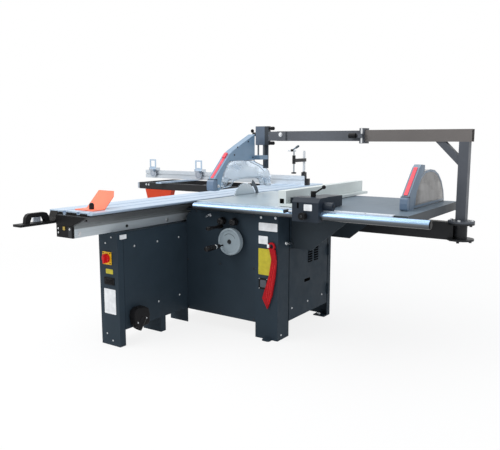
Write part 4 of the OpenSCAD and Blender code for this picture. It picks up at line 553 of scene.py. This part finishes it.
def front_cabinet_fittings():
    """Blank plates, screws, the vent's louvres and the power inlet's housing on the front cabinet."""
    low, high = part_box("front_cabinet")
    face, side = low.y, high.x
    flat("front_cabinet_blank_plate", WHITE_PLATE, "base",
         (-0.375, face, 0.286), FACING_FRONT, 0.102, 0.160)
    flat("front_cabinet_small_plate", LEMON, "base",
         (-0.3725, face, 0.479), FACING_FRONT, 0.063, 0.030)

    low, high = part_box("switch_plate")
    edge, switch_thick, vent_thick = 0.008, 0.006, 0.004
    places = [(x, face - switch_thick, z) for x in (low.x + edge, high.x - edge)
              for z in (low.z + edge, high.z - edge)]
    places += [(x, face - vent_thick, z) for x in (-0.413, -0.335) for z in (0.4005, 0.4355)]
    heads("front_cabinet_screws", screw, places, FRONT, 0.004, BLACK, "base")
    places = [(x, face, z) for x, z in ((-0.347, 0.697), (-0.400, 0.657), (-0.410, 0.073),
                                        (-0.359, 0.033))]
    heads("front_cabinet_bolts", screw, places, FRONT, 0.0052, ZINC, "base")
    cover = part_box("front_cabinet_cover")[1].x
    places = [(cover, y, z) for y in (-0.880, -0.671, -0.459) for z in (0.220, 0.628)]
    heads("cover_screws", screw, places, RIGHT, 0.0065, ZINC, "base")
    flat("cover_blank_plate", WHITE_PLATE, "base",
         (side, -0.9730, 0.698), FACING_RIGHT, 0.054, 0.028, t=0.0042)

    bm = bmesh.new()
    plate(bm, (-0.374, face, 0.418), FACING_FRONT, 0.090, 0.047, t=vent_thick, r=0.005)
    back, tip, pitch = face - 0.003, face - 0.009, 0.009
    for i in range(4):
        side_prism(bm, -0.404, 0.060, [(back, 0.4025 + pitch * i), (tip, 0.4025 + pitch * i),
                                       (tip, 0.4040 + pitch * i), (back, 0.4085 + pitch * i)])
    vent = add("vent_louvres", bm, BLACK, "base", 0.0006)
    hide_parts("vent_grille")

    bm = bmesh.new()
    side_prism(bm, -0.2925, 0.0565, [
        (-0.943, 0.190), (-0.936, 0.222), (-0.905, 0.238), (-0.850, 0.236), (-0.820, 0.218),
        (-0.810, 0.180), (-0.812, 0.125), (-0.830, 0.112), (-0.900, 0.110), (-0.935, 0.130)])
    add("inlet_housing", bm, BLACK, "base", 0.007)
    places = [(-0.236, -0.920, 0.145), (-0.236, -0.845, 0.160)]
    heads("inlet_screws", screw, places, RIGHT, 0.005, ZINC, "base")


def post_plates():
    """Blank plates with their rivets on the front right post."""
    bm = bmesh.new()
    plate(bm, (0.384, PANEL_FACE, 0.742), FACING_FRONT, 0.140, 0.052)
    plate(bm, (0.348, PANEL_FACE, 0.656), FACING_FRONT, 0.070, 0.052)
    add("post_white_plates", bm, WHITE_PLATE, "base")
    flat("post_yellow_plate", LEMON, "base", (0.360, PANEL_FACE, 0.514), FACING_FRONT, 0.096, 0.172)
    x, z = 0.349, 0.369
    flat("post_black_plate", BLACK, "base", (x, PANEL_FACE, z), FACING_FRONT, 0.070, 0.074)
    flat("post_grey_field", POST_PAINT, "base",
         (x, PANEL_FACE - PLATE, z), FACING_FRONT, 0.046, 0.048, t=FILM)
    places = [(x + sx * 0.030, PANEL_FACE - PLATE, z + sz * 0.032)
              for sx in (-1, 1) for sz in (-1, 1)]
    heads("post_rivets", screw, places, FRONT, 0.003, ZINC, "base")


def panel_fittings():
    """Screws on the panel, the door and a leg, the post's bolts, a foot tab and the door's seam."""
    places = [(x, PANEL_FACE, z) for x in (-0.283, 0.0, 0.276) for z in (0.115, 0.46)]
    places += [(-0.20, PANEL_FACE, 0.806), (0.276, PANEL_FACE, 0.806)]
    heads("panel_screws", screw, places, FRONT, 0.006, DARK_STEEL, "base")
    places = [(DOOR_FACE, y, 0.182) for y in (-0.192, 0.024, 0.235)]
    heads("door_screws", screw, places, RIGHT, 0.0065, ZINC, "door")
    heads("leg_screws", screw, [(DOOR_FACE, -0.329, 0.033)], RIGHT, 0.006, ZINC, "base")
    places = [(0.331, PANEL_FACE, 0.801), (0.440, PANEL_FACE, 0.804)]
    heads("post_top_bolts", hex_bolt, places, FRONT, 0.0056, WHITE_PLATE, "base")
    flat("front_foot_tab", CABINET, "base",
         (0.390, -0.389, 0.0), FACING_UP, 0.058, 0.046, t=0.008, r=0.014, bevel=0.001)
    flat("door_seam", SEAM_AND_SHADE_BLACK, "base",
         (DOOR_FACE, -0.2315, 0.452), FACING_RIGHT, 0.005, 0.698, t=FILM, r=0.001)


def door_fittings():
    """Louvre hoods over their slits with painted shade in the slits, a cup behind the hand slot painted
    black as its shade, and a lever latch on the post.
    """
    columns, rows, pitch, width, deep = (0.0552, 0.1412), 6, 0.017, 0.062, 0.005
    n = 8
    quarter = [(deep * math.sin(math.pi * k / n), deep * math.cos(math.pi * k / n))
               for k in range(n // 2 + 1)]
    outline = quarter + [(deep, -0.001), (0.0, -0.001)]
    bm = bmesh.new()
    for y in columns:
        for i in range(rows):
            place = Matrix.Translation((DOOR_FACE, y - width / 2, 0.4655 + pitch * i)) @ FACING_FRONT
            prism(bm, place @ Matrix.Scale(-1, 4, UP), outline, width)
    add("louvre_hoods", bm, CABINET, "door", 0.001)
    # Black films in the louvre slits: painted shade
    bm = bmesh.new()
    for y in columns:
        for i in range(rows):
            plate(bm, (DOOR_FACE, y, 0.4585 + pitch * i), FACING_RIGHT, width, 0.0095, t=FILM, r=0.002)
    add("louvre_slits", bm, SEAM_AND_SHADE_BLACK, "door")
    # The hand slot's cup in matt black: painted shade in the slot
    flat("hand_cup", SEAM_AND_SHADE_BLACK, "door",
         (0.4575, 0.0169, 0.3348), FACING_RIGHT, 0.080, 0.0205, t=0.0030, r=0.009)

    bm = bmesh.new()
    lathe(bm, (DOOR_FACE, -0.268, 0.634), RIGHT, [
        (0, 0.014), (0.006, 0.014), (0.009, 0.011), (0.010, 0.004), (0.014, 0.003), (0.015, 0)])
    lean = Matrix.Rotation(math.radians(-13), 4, "X")
    prism(bm, Matrix.Translation((0.473, -0.246, 0.629)) @ lean @ FACING_RIGHT,
          rounded(0.070, 0.011, 0.005), 0.007)
    add("door_latch", bm, BRIGHT, "base", 0.0008)


def floor_bolts():
    """Anchor bolts with their washers in the four foot tabs."""
    places = [(sx * 0.400, sy * 0.310, 0.008) for sx in (-1, 1) for sy in (-1, 1)]
    heads("anchor_bolts", hex_bolt, places, UP, 0.012, ZINC, "base")


def control_fittings():
    """Crowns on the scoring knobs, the handwheel's cap, rim and scale, sleeves on grips, a panel key."""
    for side, body in (("left", "scoring_knob_a"), ("right", "scoring_knob_b")):
        low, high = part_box("scoring_knob_" + side)
        turned("knob_cap_" + side, GLOSS_BLACK, body, ((low.x + high.x) / 2, low.y, 0.759), FRONT, [
            (0, 0.026), (0.009, 0.026), (0.012, 0.029), (0.019, 0.027), (0.0235, 0.021),
            (0.0235, 0.003), (0.021, 0.0)])

    low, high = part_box("handwheel")
    x, z = (low.x + high.x) / 2, (low.z + high.z) / 2
    turned("wheel_hub_cap", DARK_STEEL, "wheel", (x, low.y, z), FRONT, [
        (0, 0.001), (0.009, 0.001), (0.011, 0.004), (0.014, 0.004), (0.016, 0.0)])
    turned("wheel_rim_roll", WHEEL, "wheel", (x, low.y, z), FRONT, [
        (0.074, -0.001), (0.075, 0.0035), (0.079, 0.006), (0.086, 0.006), (0.089, 0.003),
        (0.089, -0.001)], sides=64)
    n = 20
    sweep = [math.radians(30 + 105 * i / n) for i in range(n + 1)]
    arc = [polar(0.054, a) for a in sweep] + [polar(0.0515, a) for a in reversed(sweep)]
    bm = bmesh.new()
    prism(bm, Matrix.Translation((x, low.y + 0.0102, z)) @ FACING_FRONT, arc, 0.0106)
    add("wheel_scale", bm, BLACK, "wheel")

    low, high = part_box("handwheel_grip")
    x, z = (low.x + high.x) / 2, (low.z + high.z) / 2
    turned("grip_ring", BRIGHT, "wheel_grip", (x, low.y + 0.096, z), BACK, [
        (0.0137, 0.0), (0.0148, 0.001), (0.0148, 0.009), (0.0137, 0.010), (0.0137, 0.0)])
    turned("grip_sleeve", GLOSS_BLACK, "wheel_grip", (x, low.y, z), BACK, [
        (0, -0.002), (0.011, -0.001), (0.0165, 0.004), (0.0185, 0.024), (0.0180, 0.070),
        (0.0165, 0.088), (0.0138, 0.093)])
    low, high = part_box("height_crank")
    x, z = (low.x + high.x) / 2, (low.z + high.z) / 2
    turned("crank_sleeve", GLOSS_BLACK, "height_handle", (x, low.y, z), BACK, [
        (0, -0.002), (0.008, -0.001), (0.0125, 0.004), (0.0135, 0.030), (0.0115, 0.062),
        (0.0085, 0.066)])

    x, z = -0.082, 0.786
    bm = bmesh.new()
    lathe(bm, (x, PANEL_FACE, z), FRONT, [
        (0, 0.030), (0.004, 0.030), (0.005, 0.028), (0.005, 0.006), (0.011, 0.005), (0.012, 0)])
    bow = FACING_FRONT @ Matrix.Rotation(math.radians(35), 4, "Z")
    prism(bm, Matrix.Translation((x, -0.394, z)) @ bow, rounded(0.040, 0.009, 0.004), 0.006)
    add("panel_key", bm, BRIGHT, "base", 0.0006)


def scale_ticks(name, x0, x1, y, z, body):
    """Plain marks along a rail: a longer one every five and the longest every ten."""
    step, half, thick = 0.01, 0.0005, 0.0003
    bm = bmesh.new()
    for i in range(int((x1 - x0) / step) + 1):
        long = 0.009 if i % 10 == 0 else 0.006 if i % 5 == 0 else 0.0035
        outline = [(-half, 0), (half, 0), (half, long), (-half, long)]
        prism(bm, Matrix.Translation((x0 + i * step, y, z)), outline, thick)
    add(name, bm, BLACK, body)


def beam_fittings():
    """Bolts along the slide beam, and a mark, a bracket, screws and a plate on its front end."""
    places = [(BEAM_FACE, y, 0.749) for y in (-1.252, -0.498, -0.12)]
    heads("beam_bolts", hex_bolt, places, RIGHT, 0.009, ZINC, "base")
    places = [(BEAM_FACE, y, 0.750) for y in (-0.874, 0.26, 0.64, 1.02)]
    heads("beam_dark_bolts", hex_bolt, places, RIGHT, 0.0068, DARK_STEEL, "base")
    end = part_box("beam_end_caps")[0].y
    bracket = 0.003
    flat("beam_cap_mark", OCHRE, "base",
         (-0.433, end, 0.780), FACING_FRONT, 0.018, 0.021, t=0.005, r=0.003, bevel=0.001)
    flat("beam_cap_bracket", DARK_STEEL, "base",
         (-0.381, end, 0.759), FACING_FRONT, 0.030, 0.064, t=bracket, r=0.003, bevel=0.0006)
    places = [(-0.487, end, 0.776), (-0.381, end - bracket, 0.778), (-0.487, end, 0.752)]
    heads("beam_cap_screws", screw, places, FRONT, 0.006, ZINC, "base")
    bm = bmesh.new()
    front_prism(bm, -1.298, [(-0.503, 0.797), (-0.362, 0.797), (-0.330, 0.812), (-0.252, 0.848),
                             (-0.252, 0.855), (-0.503, 0.855)], 0.003)
    add("beam_end_plate", bm, BLACK, "base", 0.0006)


def carriage_fittings():
    """The table's end plates, the handle's insert, the outrigger's caps and bolts, the shoe's knob."""
    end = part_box("sliding_table")[0].y
    bm = bmesh.new()
    for x0, x1 in ((-0.516, -0.476), (-0.444, -0.354), (-0.322, -0.262)):
        plate(bm, ((x0 + x1) / 2, end, 0.8505), FACING_FRONT, x1 - x0, 0.043, t=0.0012, r=0.003)
    add("deck_end_plates", bm, BLACK, "carriage")
    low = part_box("push_handle")[0]
    flat("handle_insert", HANDLE_GREY, "carriage",
         (low.x + 0.012, -1.378, 0.8175), FACING_UP, 0.018, 0.046, t=0.030, bevel=0.002)
    low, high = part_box("outrigger_frame")
    middle = (low.z + high.z) / 2
    bm = bmesh.new()
    for y in (low.y + 0.020, high.y - 0.020):
        plate(bm, (low.x, y, middle), FACING_LEFT, 0.036, high.z - low.z - 0.006, t=0.026)
    add("outrigger_caps", bm, INSERT_GREY, "carriage", 0.002)
    places = [(low.x + 0.10 + 0.035 * i, low.y, middle + 0.012) for i in range(2)]
    heads("outrigger_bolts", hex_bolt, places, FRONT, 0.007, ZINC, "carriage")
    turned("shoe_knob", GLOSS_BLACK, "shoe", (-0.341, -1.1685, 0.914), UP, [
        (0, 0.011), (0.007, 0.011), (0.011, 0.008), (0.012, 0.004), (0.010, 0.0)])


def clamp_lever():
    """The hold-down clamp's hub, and its lever's rod and grip."""
    x, y = -0.303, 1.096
    turned("clamp_hub", BLACK, "clamp", (x, y, 1.1885), UP, [
        (0, 0.022), (0.010, 0.022), (0.0125, 0.019), (0.0125, 0.002), (0.010, 0.0)], bevel=0.0006)
    root = Vector((x, y, 1.2005))
    tilt = Vector((0.62, 0.42, 0.50)).normalized()
    turned("clamp_lever_rod", SPARE_PAINT, "clamp", root, tilt, [
        (0, 0), (0.0065, 0.001), (0.0065, 0.044), (0, 0.045)], sides=16)
    turned("clamp_lever_grip", KNIFE, "clamp", root + 0.034 * tilt, tilt, [
        (0, 0), (0.008, 0.001), (0.0105, 0.012), (0.0105, 0.032), (0.007, 0.040), (0, 0.041)],
        sides=20)


def stop_fittings():
    """A plate with a round foot, a ring and a knob on each stop of the crosscut fence."""
    n, r, centre, top, back, thick = 22, 0.042, 0.931, 0.978, 1.2408, 0.006
    face = back - thick
    for side, x in (("left", -2.142), ("right", -1.503)):
        foot = [polar(r, math.pi + math.pi * i / n) for i in range(n + 1)]
        outline = [(x + px, centre + pz) for px, pz in foot] + [(x + r, top), (x - r, top)]
        bm = bmesh.new()
        front_prism(bm, back, outline, thick)
        add("stop_plate_" + side, bm, INSERT_GREY, "carriage", 0.0015)
        bm = bmesh.new()
        lathe(bm, (x, face, 0.936), FRONT, [(0.027, 0.0), (0.029, 0.0008), (0.031, 0.0)], sides=40)
        lathe(bm, (x + 0.030, face, 0.966), FRONT, [
            (0, 0.020), (0.010, 0.019), (0.013, 0.015), (0.013, 0.004), (0.007, 0)])
        add("stop_knob_" + side, bm, SPARE_PAINT, "carriage")


def rail_fittings():
    """The front rail's ends, its strip's pale top and the strip's bolts."""
    low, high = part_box("front_rail")
    y, z = -0.430, 0.849
    bm = bmesh.new()
    lathe(bm, (low.x, y, z), LEFT, [
        (0, 0.012), (0.010, 0.0115), (0.018, 0.009), (0.023, 0.005), (0.025, 0)])
    lathe(bm, (high.x, y, z), RIGHT, [(0, 0.006), (0.018, 0.006), (0.0245, 0.002), (0.025, 0)])
    add("rail_ends", bm, BLACK, "base")
    bm = bmesh.new()
    side_prism(bm, 0.462, 0.758, [
        (-0.4162, 0.8722), (-0.3952, 0.8722), (-0.3952, 0.8801), (-0.366, 0.8801),
        (-0.366, 0.8808), (-0.4162, 0.8808)])
    add("rail_strip_top", bm, STRIP, "base", 0.0003)
    places = [(x, -0.404, 0.8769) for x in (0.480, 1.057)]
    heads("strip_bolts", screw, places, UP, 0.007, SEAM_AND_SHADE_BLACK, "base")


def fence_fittings():
    """A blank plate and a slot's painted shade on the rip fence body, the bar's end with the painted
    shade of its open mouth, and caps on two knobs.
    """
    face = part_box("rip_fence_body")[0].y
    flat("fence_blank_plate", WHITE_PLATE, "fence", (0.730, face, 0.8995), FACING_FRONT, 0.054, 0.038)
    # A black film where the fence body's slot is: painted shade
    flat("fence_slot_plate", SEAM_AND_SHADE_BLACK, "fence", (0.6625, face, 0.909), FACING_FRONT, 0.011, 0.034)
    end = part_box("rip_fence_bar")[0].y
    thick = 0.002
    bm = bmesh.new()
    front_prism(bm, end, [(0.4702, 0.8842), (0.5708, 0.8842), (0.5708, 0.9018), (0.5258, 0.9018),
                          (0.5258, 0.9808), (0.4702, 0.9808)], thick)
    add("fence_bar_end", bm, RIP_ALU, "fence_bar", 0.0006)
    # A black film in the bar's open end: painted shade of the hollow profile
    flat("fence_bar_mouth", SEAM_AND_SHADE_BLACK, "fence_bar",
         (0.497, end - thick, 0.917), FACING_FRONT, 0.030, 0.030, t=FILM, r=0.003)
    low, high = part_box("fence_front_knob")
    heads("fence_front_knob_cap", screw, [((low.x + high.x) / 2, low.y, (low.z + high.z) / 2)],
          FRONT, 0.008, DARK_STEEL, "fence_front_knob_body")
    low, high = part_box("fence_side_knob")
    heads("fence_side_knob_cap", screw, [(high.x, (low.y + high.y) / 2, (low.z + high.z) / 2)],
          RIGHT, 0.008, DARK_STEEL, "fence_side_knob_body")


def inset(outline, width):
    """A closed outline of (y, z) points, drawn in by a width."""
    n = len(outline)
    inner = []
    for i in range(n):
        a, b, c = (Vector(outline[k % n]) for k in (i - 1, i, i + 1))
        u, v = (b - a).normalized(), (c - b).normalized()
        side = Vector((u.y + v.y, -u.x - v.x))
        inner.append(tuple(b + side * width / max(0.6, 1 + u.dot(v))))
    return inner


def smoothed(outline, times=2):
    """A closed outline with its corners cut, again and again."""
    for _ in range(times):
        ends = zip(outline, outline[1:] + outline[:1])
        outline = [(a[0] + (b[0] - a[0]) * k, a[1] + (b[1] - a[1]) * k)
                   for a, b in ends for k in (0.25, 0.75)]
    return outline


def window_dome(name, node, body, material, outline, rise, shut):
    """A hollow moulded cover that stands for a window: its sides swell over an outline of (y, z) points.

    The edge between the two sides is closed where shut says so, and open along the bottom.
    """
    low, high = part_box(node)
    outline = smoothed(outline)
    swell = ((0.016, 1.0), (0.009, 0.84), (0.004, 0.62), (0.0012, 0.35), (0.0, 0.0))
    levels = [(low.x - rise * share, width) for width, share in swell]
    levels += [(high.x + rise * share, width) for width, share in reversed(swell)]
    bm = bmesh.new()
    rings = [[bm.verts.new((x, y, z)) for y, z in inset(outline, width)] for x, width in levels]
    bm.faces.new(rings[0])
    bm.faces.new(rings[-1])
    edge = len(swell) - 1
    for k, (a, b) in enumerate(zip(rings, rings[1:])):
        for i, j in neighbours(len(outline)):
            y, z = ((outline[i][axis] + outline[j][axis]) / 2 for axis in (0, 1))
            if k != edge or shut(y, z):
                bm.faces.new((a[i], a[j], b[j], b[i]))
    o = add(name, bm, material, body)
    for f in o.data.polygons:
        f.use_smooth = len(f.vertices) == 4
    wall = o.modifiers.new("wall", "SOLIDIFY")
    wall.thickness = WINDOW_WALL
    wall.offset = -1
    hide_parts(node)


def window_rim(name, node, body, material, width, outline):
    """A flat rim on both sides of a window, just inside its closed outline of (y, z) points."""
    low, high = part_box(node)
    inner = inset(outline, width)
    bm = bmesh.new()
    for x in (low.x - RIM, high.x):
        for i, j in neighbours(len(outline)):
            side_prism(bm, x, RIM, [outline[i], outline[j], inner[j], inner[i]])
    add(name, bm, material, body)


# Outlines of (y, z) points on the two hoods. The spare hood's nose is the hood's, moved.
NOSE_ROLL = [(-0.196, 0.936), (-0.190, 0.952), (-0.190, 1.004), (-0.198, 1.014), (-0.222, 1.014),
             (-0.231, 1.002), (-0.235, 0.975), (-0.233, 0.945), (-0.226, 0.935)]
NOSE_SEAM = [(-0.190, 0.940), (-0.187, 0.940), (-0.187, 1.016), (-0.222, 1.017), (-0.222, 1.014),
             (-0.190, 1.004)]
SPARE_BACK, SPARE_DOWN = 0.055, 0.053
SPARE_WINDOW = [(-0.022, 0.987), (0.057, 1.066), (0.142, 1.102), (0.237, 1.108), (0.325, 1.100),
                (0.413, 1.070), (0.487, 1.018), (0.538, 0.950), (0.558, 0.886), (-0.046, 0.886)]
HOOD_WINDOW = [(-0.022, 1.130), (0.006, 1.143), (0.262, 1.139), (0.306, 1.125), (0.422, 1.088),
               (0.496, 1.045), (0.5215, 0.998), (0.5215, 0.930), (0.449, 0.934), (0.408, 1.005),
               (0.030, 1.005), (-0.021, 0.954), (-0.125, 0.946), (-0.124, 0.985), (-0.096, 1.062),
               (-0.062, 1.098)]
HOOD_RIM = [(0.271, 1.148), (0.306, 1.125), (0.424, 1.090), (0.498, 1.047), (0.5235, 0.999),
            (0.5235, 0.928), (0.447, 0.932), (0.406, 1.003), (0.031, 1.003), (-0.020, 0.952),
            (-0.148, 0.942), (-0.127, 1.031), (-0.069, 1.111), (-0.033, 1.148)]


def hood_fittings():
    """The nose's roll and seam, and the cheek's screws and cap, on the saw's hood."""
    cheek = -0.162
    bm = bmesh.new()
    side_prism(bm, -0.2205, 0.061, NOSE_ROLL)
    add("hood_nose_block", bm, NOSE_PAINT, "hood", 0.003)
    bm = bmesh.new()
    side_prism(bm, -0.2195, 0.059, NOSE_SEAM)
    add("hood_nose_seam", bm, BLACK, "hood")
    places = [(cheek, y, z) for y, z in ((0.061, 1.238), (0.022, 1.183), (0.20, 1.280), (0.262, 1.160))]
    heads("hood_screws", screw, places, RIGHT, 0.006, DARK_STEEL, "hood")
    heads("hood_pivot_cap", hex_bolt, [(cheek, -0.172, 0.966)], RIGHT, 0.008, ZINC, "hood")


def arm_fittings():
    """The collar's strip, bolts on the post's flange and the arm's lap, and the hanger's knobs."""
    flat("collar_strip", BRIGHT, "base",
         (0.684, 0.361, 1.320), FACING_FRONT, 0.013, 0.100, t=0.0015, r=0.002, bevel=0.0005)
    ring = [polar(0.062, a) for a in (0, math.pi / 2, math.pi, 1.5 * math.pi)]
    places = [(1.375 + px, 0.405 + py, 0.773) for px, py in ring]
    heads("flange_bolts", hex_bolt, places, UP, 0.010, ZINC, "base")
    heads("arm_lap_bolt", hex_bolt, [(0.022, 0.3655, 1.332)], FRONT, 0.011, ZINC, "arm_inner")
    y = 0.3815
    bm = bmesh.new()
    for z in (1.379, 1.267):
        lathe(bm, (-0.088, y, z), RIGHT, [
            (0, 0.044), (0.009, 0.044), (0.0135, 0.040), (0.0135, 0.016), (0.008, 0.013), (0.008, 0)])
    lathe(bm, (-0.236, y, 1.361), LEFT, [
        (0, 0.023), (0.008, 0.0215), (0.013, 0.017), (0.0145, 0.011), (0.012, 0.004), (0.007, 0)])
    add("hanger_knobs", bm, BLACK, "arm_inner")


def spare_hood_fittings():
    """Screws, the red stripe over its solid, and the nose's roll and seam, on the spare hood."""
    low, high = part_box("spare_hood_shell")
    width = high.x - low.x
    places = [(low.x, y, z) for y, z in ((-0.13, 0.93), (-0.02, 1.06), (0.06, 1.11))]
    heads("spare_hood_screws", screw, places, LEFT, 0.0065, DARK_STEEL, "spare_hood")
    a, b = Vector((-0.1456, 0.9698)), Vector((0.0161, 1.1255))
    along = (b - a).normalized()
    out = Vector((-along.y, along.x)) * 0.0042
    over = 0.0004 * along
    bm = bmesh.new()
    side_prism(bm, 1.1826, 0.0228, [tuple(p) for p in (a - over, b + over, b + out, a + out)])
    add("spare_hood_stripe", bm, PINK_RED, "spare_hood", 0.0008)
    for name, material, outline, proud, bevel in (
            ("spare_hood_nose", NOSE_PAINT, NOSE_ROLL, 0.0015, 0.003),
            ("spare_nose_seam", BLACK, NOSE_SEAM, 0.0008, 0.0)):
        bm = bmesh.new()
        side_prism(bm, low.x - proud, width + 2 * proud,
                   [(y + SPARE_BACK, z - SPARE_DOWN) for y, z in outline])
        add(name, bm, material, "spare_hood", bevel)


def windows():
    """Rims round both hoods' windows, and the saw hood's dome."""
    window_rim("spare_window_rim", "spare_hood_window", "spare_hood", SPARE_PAINT, 0.014, SPARE_WINDOW)
    window_dome("hood_window_dome", "hood_window", "hood", CLEAR, HOOD_WINDOW, 0.012,
                lambda y, z: z > 1.012 or y > 0.517 or y < -0.123)
    window_rim("hood_window_rim", "hood_window", "hood", RIM_CLEAR, 0.006, HOOD_RIM)


def stick_fittings():
    """Raised ribs along the push stick and a pale strap round its ring."""
    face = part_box("push_stick")[0].y
    half, thick = 0.0016, 0.0012
    ways = [[(0.436, 0.520), (0.418, 0.430), (0.404, 0.330), (0.394, 0.262)],
            [(0.424, 0.520), (0.405, 0.430), (0.390, 0.330), (0.384, 0.280)],
            [(0.447, 0.505), (0.430, 0.420), (0.416, 0.320), (0.404, 0.245)]]
    bm = bmesh.new()
    for way in ways:
        rib = [(x - half, z) for x, z in way] + [(x + half, z) for x, z in reversed(way)]
        front_prism(bm, face, rib, thick)
    add("stick_ribs", bm, SWITCH_RED, "stick")
    z = 0.6235
    bm = bmesh.new()
    for y in (face - thick, face - thick + 0.0144):
        plate(bm, (0.3965, y, z), FACING_FRONT, 0.016, 0.022, t=thick, r=0.003)
    plate(bm, (0.3885, face + 0.006, z), FACING_RIGHT, 0.0144, 0.020, t=thick, r=0.001)
    add("stick_strap", bm, WHITE_PLATE, "stick")


front_cabinet_fittings()
post_plates()
panel_fittings()
door_fittings()
floor_bolts()
control_fittings()
scale_ticks("rail_scale", 0.49, 1.20, -0.392, 0.8808, "base")
scale_ticks("crosscut_scale", -2.26, -0.30, 1.2638, 0.964, "carriage")
beam_fittings()
carriage_fittings()
clamp_lever()
stop_fittings()
rail_fittings()
fence_fittings()
hood_fittings()
arm_fittings()
spare_hood_fittings()
windows()
stick_fittings()


# Stage

FLOOR_HALF = 30.0
WHITE_SEEN = 1.0  # strength at which the background is white
WORLD_LIGHT = 0.62
WORLD_TINT = (0.92, 0.95, 1.0)
SHADOW_NEAR, SHADOW_FAR, SHADOW_SHARE = 1.6, 4.2, 0.84  # where the floor's shadow fades out


def seen_directly(t):
    """A factor of 1 for rays from the camera, mirrors and glass, and 0 for light on the object."""
    path = t.nodes.new("ShaderNodeLightPath").outputs
    most = path["Is Camera Ray"]
    for other in ("Is Glossy Ray", "Is Transmission Ray"):
        most = combine(t, "MAXIMUM", most, path[other])
    return most


def floor_material():
    """A pale matt floor that is seen as white, with the object's shadow left in it near the object."""
    m, t, bsdf, at = shader("floor_paint")
    t.links.new(tones(t, noise(t, at, scale=0.6), WHITE, 0.78, 0.80), bsdf.inputs["Base Color"])
    bsdf.inputs["Roughness"].default_value = 0.9
    white = t.nodes.new("ShaderNodeEmission")
    white.inputs["Color"].default_value = (*WHITE, 1)
    white.inputs["Strength"].default_value = WHITE_SEEN
    away = t.nodes.new("ShaderNodeVectorMath")
    away.operation = "LENGTH"
    t.links.new(at, away.inputs[0])
    share = spread_range(t, away.outputs["Value"], SHADOW_SHARE, 1.0, SHADOW_NEAR, SHADOW_FAR)
    mix = t.nodes.new("ShaderNodeMixShader")
    t.links.new(combine(t, "MULTIPLY", share, seen_directly(t)), mix.inputs["Fac"])
    t.links.new(bsdf.outputs["BSDF"], mix.inputs[1])
    t.links.new(white.outputs["Emission"], mix.inputs[2])
    t.links.new(mix.outputs["Shader"], t.nodes["Material Output"].inputs["Surface"])
    return m


def build_floor():
    """The floor, as part of the stage."""
    r = FLOOR_HALF
    me = bpy.data.meshes.new("floor")
    me.from_pydata([(-r, -r, 0), (r, -r, 0), (r, r, 0), (-r, r, 0)], [], [(0, 1, 2, 3)])
    floor = bpy.data.objects.new("floor", me)
    bpy.context.collection.objects.link(floor)
    me.materials.append(floor_material())


def build_world():
    """A soft sky that is seen as white."""
    world = bpy.data.worlds.new("studio")
    bpy.context.scene.world = world
    world.use_nodes = True
    t = world.node_tree
    light = t.nodes["Background"]
    light.inputs["Color"].default_value = (*WORLD_TINT, 1)
    light.inputs["Strength"].default_value = WORLD_LIGHT
    seen = t.nodes.new("ShaderNodeBackground")
    seen.inputs["Color"].default_value = (*WHITE, 1)
    seen.inputs["Strength"].default_value = WHITE_SEEN
    mix = t.nodes.new("ShaderNodeMixShader")
    t.links.new(seen_directly(t), mix.inputs["Fac"])
    t.links.new(light.outputs["Background"], mix.inputs[1])
    t.links.new(seen.outputs["Background"], mix.inputs[2])
    t.links.new(mix.outputs["Shader"], t.nodes["World Output"].inputs["Surface"])


def area_light(name, at, aim, size, power, colour=WHITE):
    """A square lamp at a place, aimed at another."""
    data = bpy.data.lights.new(name, "AREA")
    data.size = size
    data.energy = power
    data.color = colour
    o = bpy.data.objects.new(name, data)
    o.location = at
    o.rotation_euler = (Vector(aim) - Vector(at)).to_track_quat("-Z", "Y").to_euler()
    bpy.context.collection.objects.link(o)


def build_camera():
    """The photograph's camera."""
    data = bpy.data.cameras.new("camera")
    data.sensor_width = SENSOR
    data.lens = CAMERA_LENS
    data.clip_end = CLIP_END
    o = bpy.data.objects.new("camera", data)
    o.location = CAMERA_AT
    o.rotation_euler = (math.radians(90 - CAMERA_DOWN), 0, math.radians(CAMERA_YAW))
    bpy.context.collection.objects.link(o)
    bpy.context.scene.camera = o


build_floor()
build_world()
area_light("key", at=(-2.5, -3.5, 4.2), aim=(-0.2, 0.2, 0.7), size=4.0, power=190,
           colour=(1.0, 0.98, 0.95))
area_light("fill", at=(5.0, -1.5, 3.0), aim=(0.3, 0.2, 0.7), size=4.0, power=50,
           colour=(0.92, 0.96, 1.0))
area_light("top", at=(0.0, 0.6, 4.8), aim=(0.0, 0.4, 0.8), size=5.0, power=120)
build_camera()
bpy.context.scene.view_settings.view_transform = "Standard"
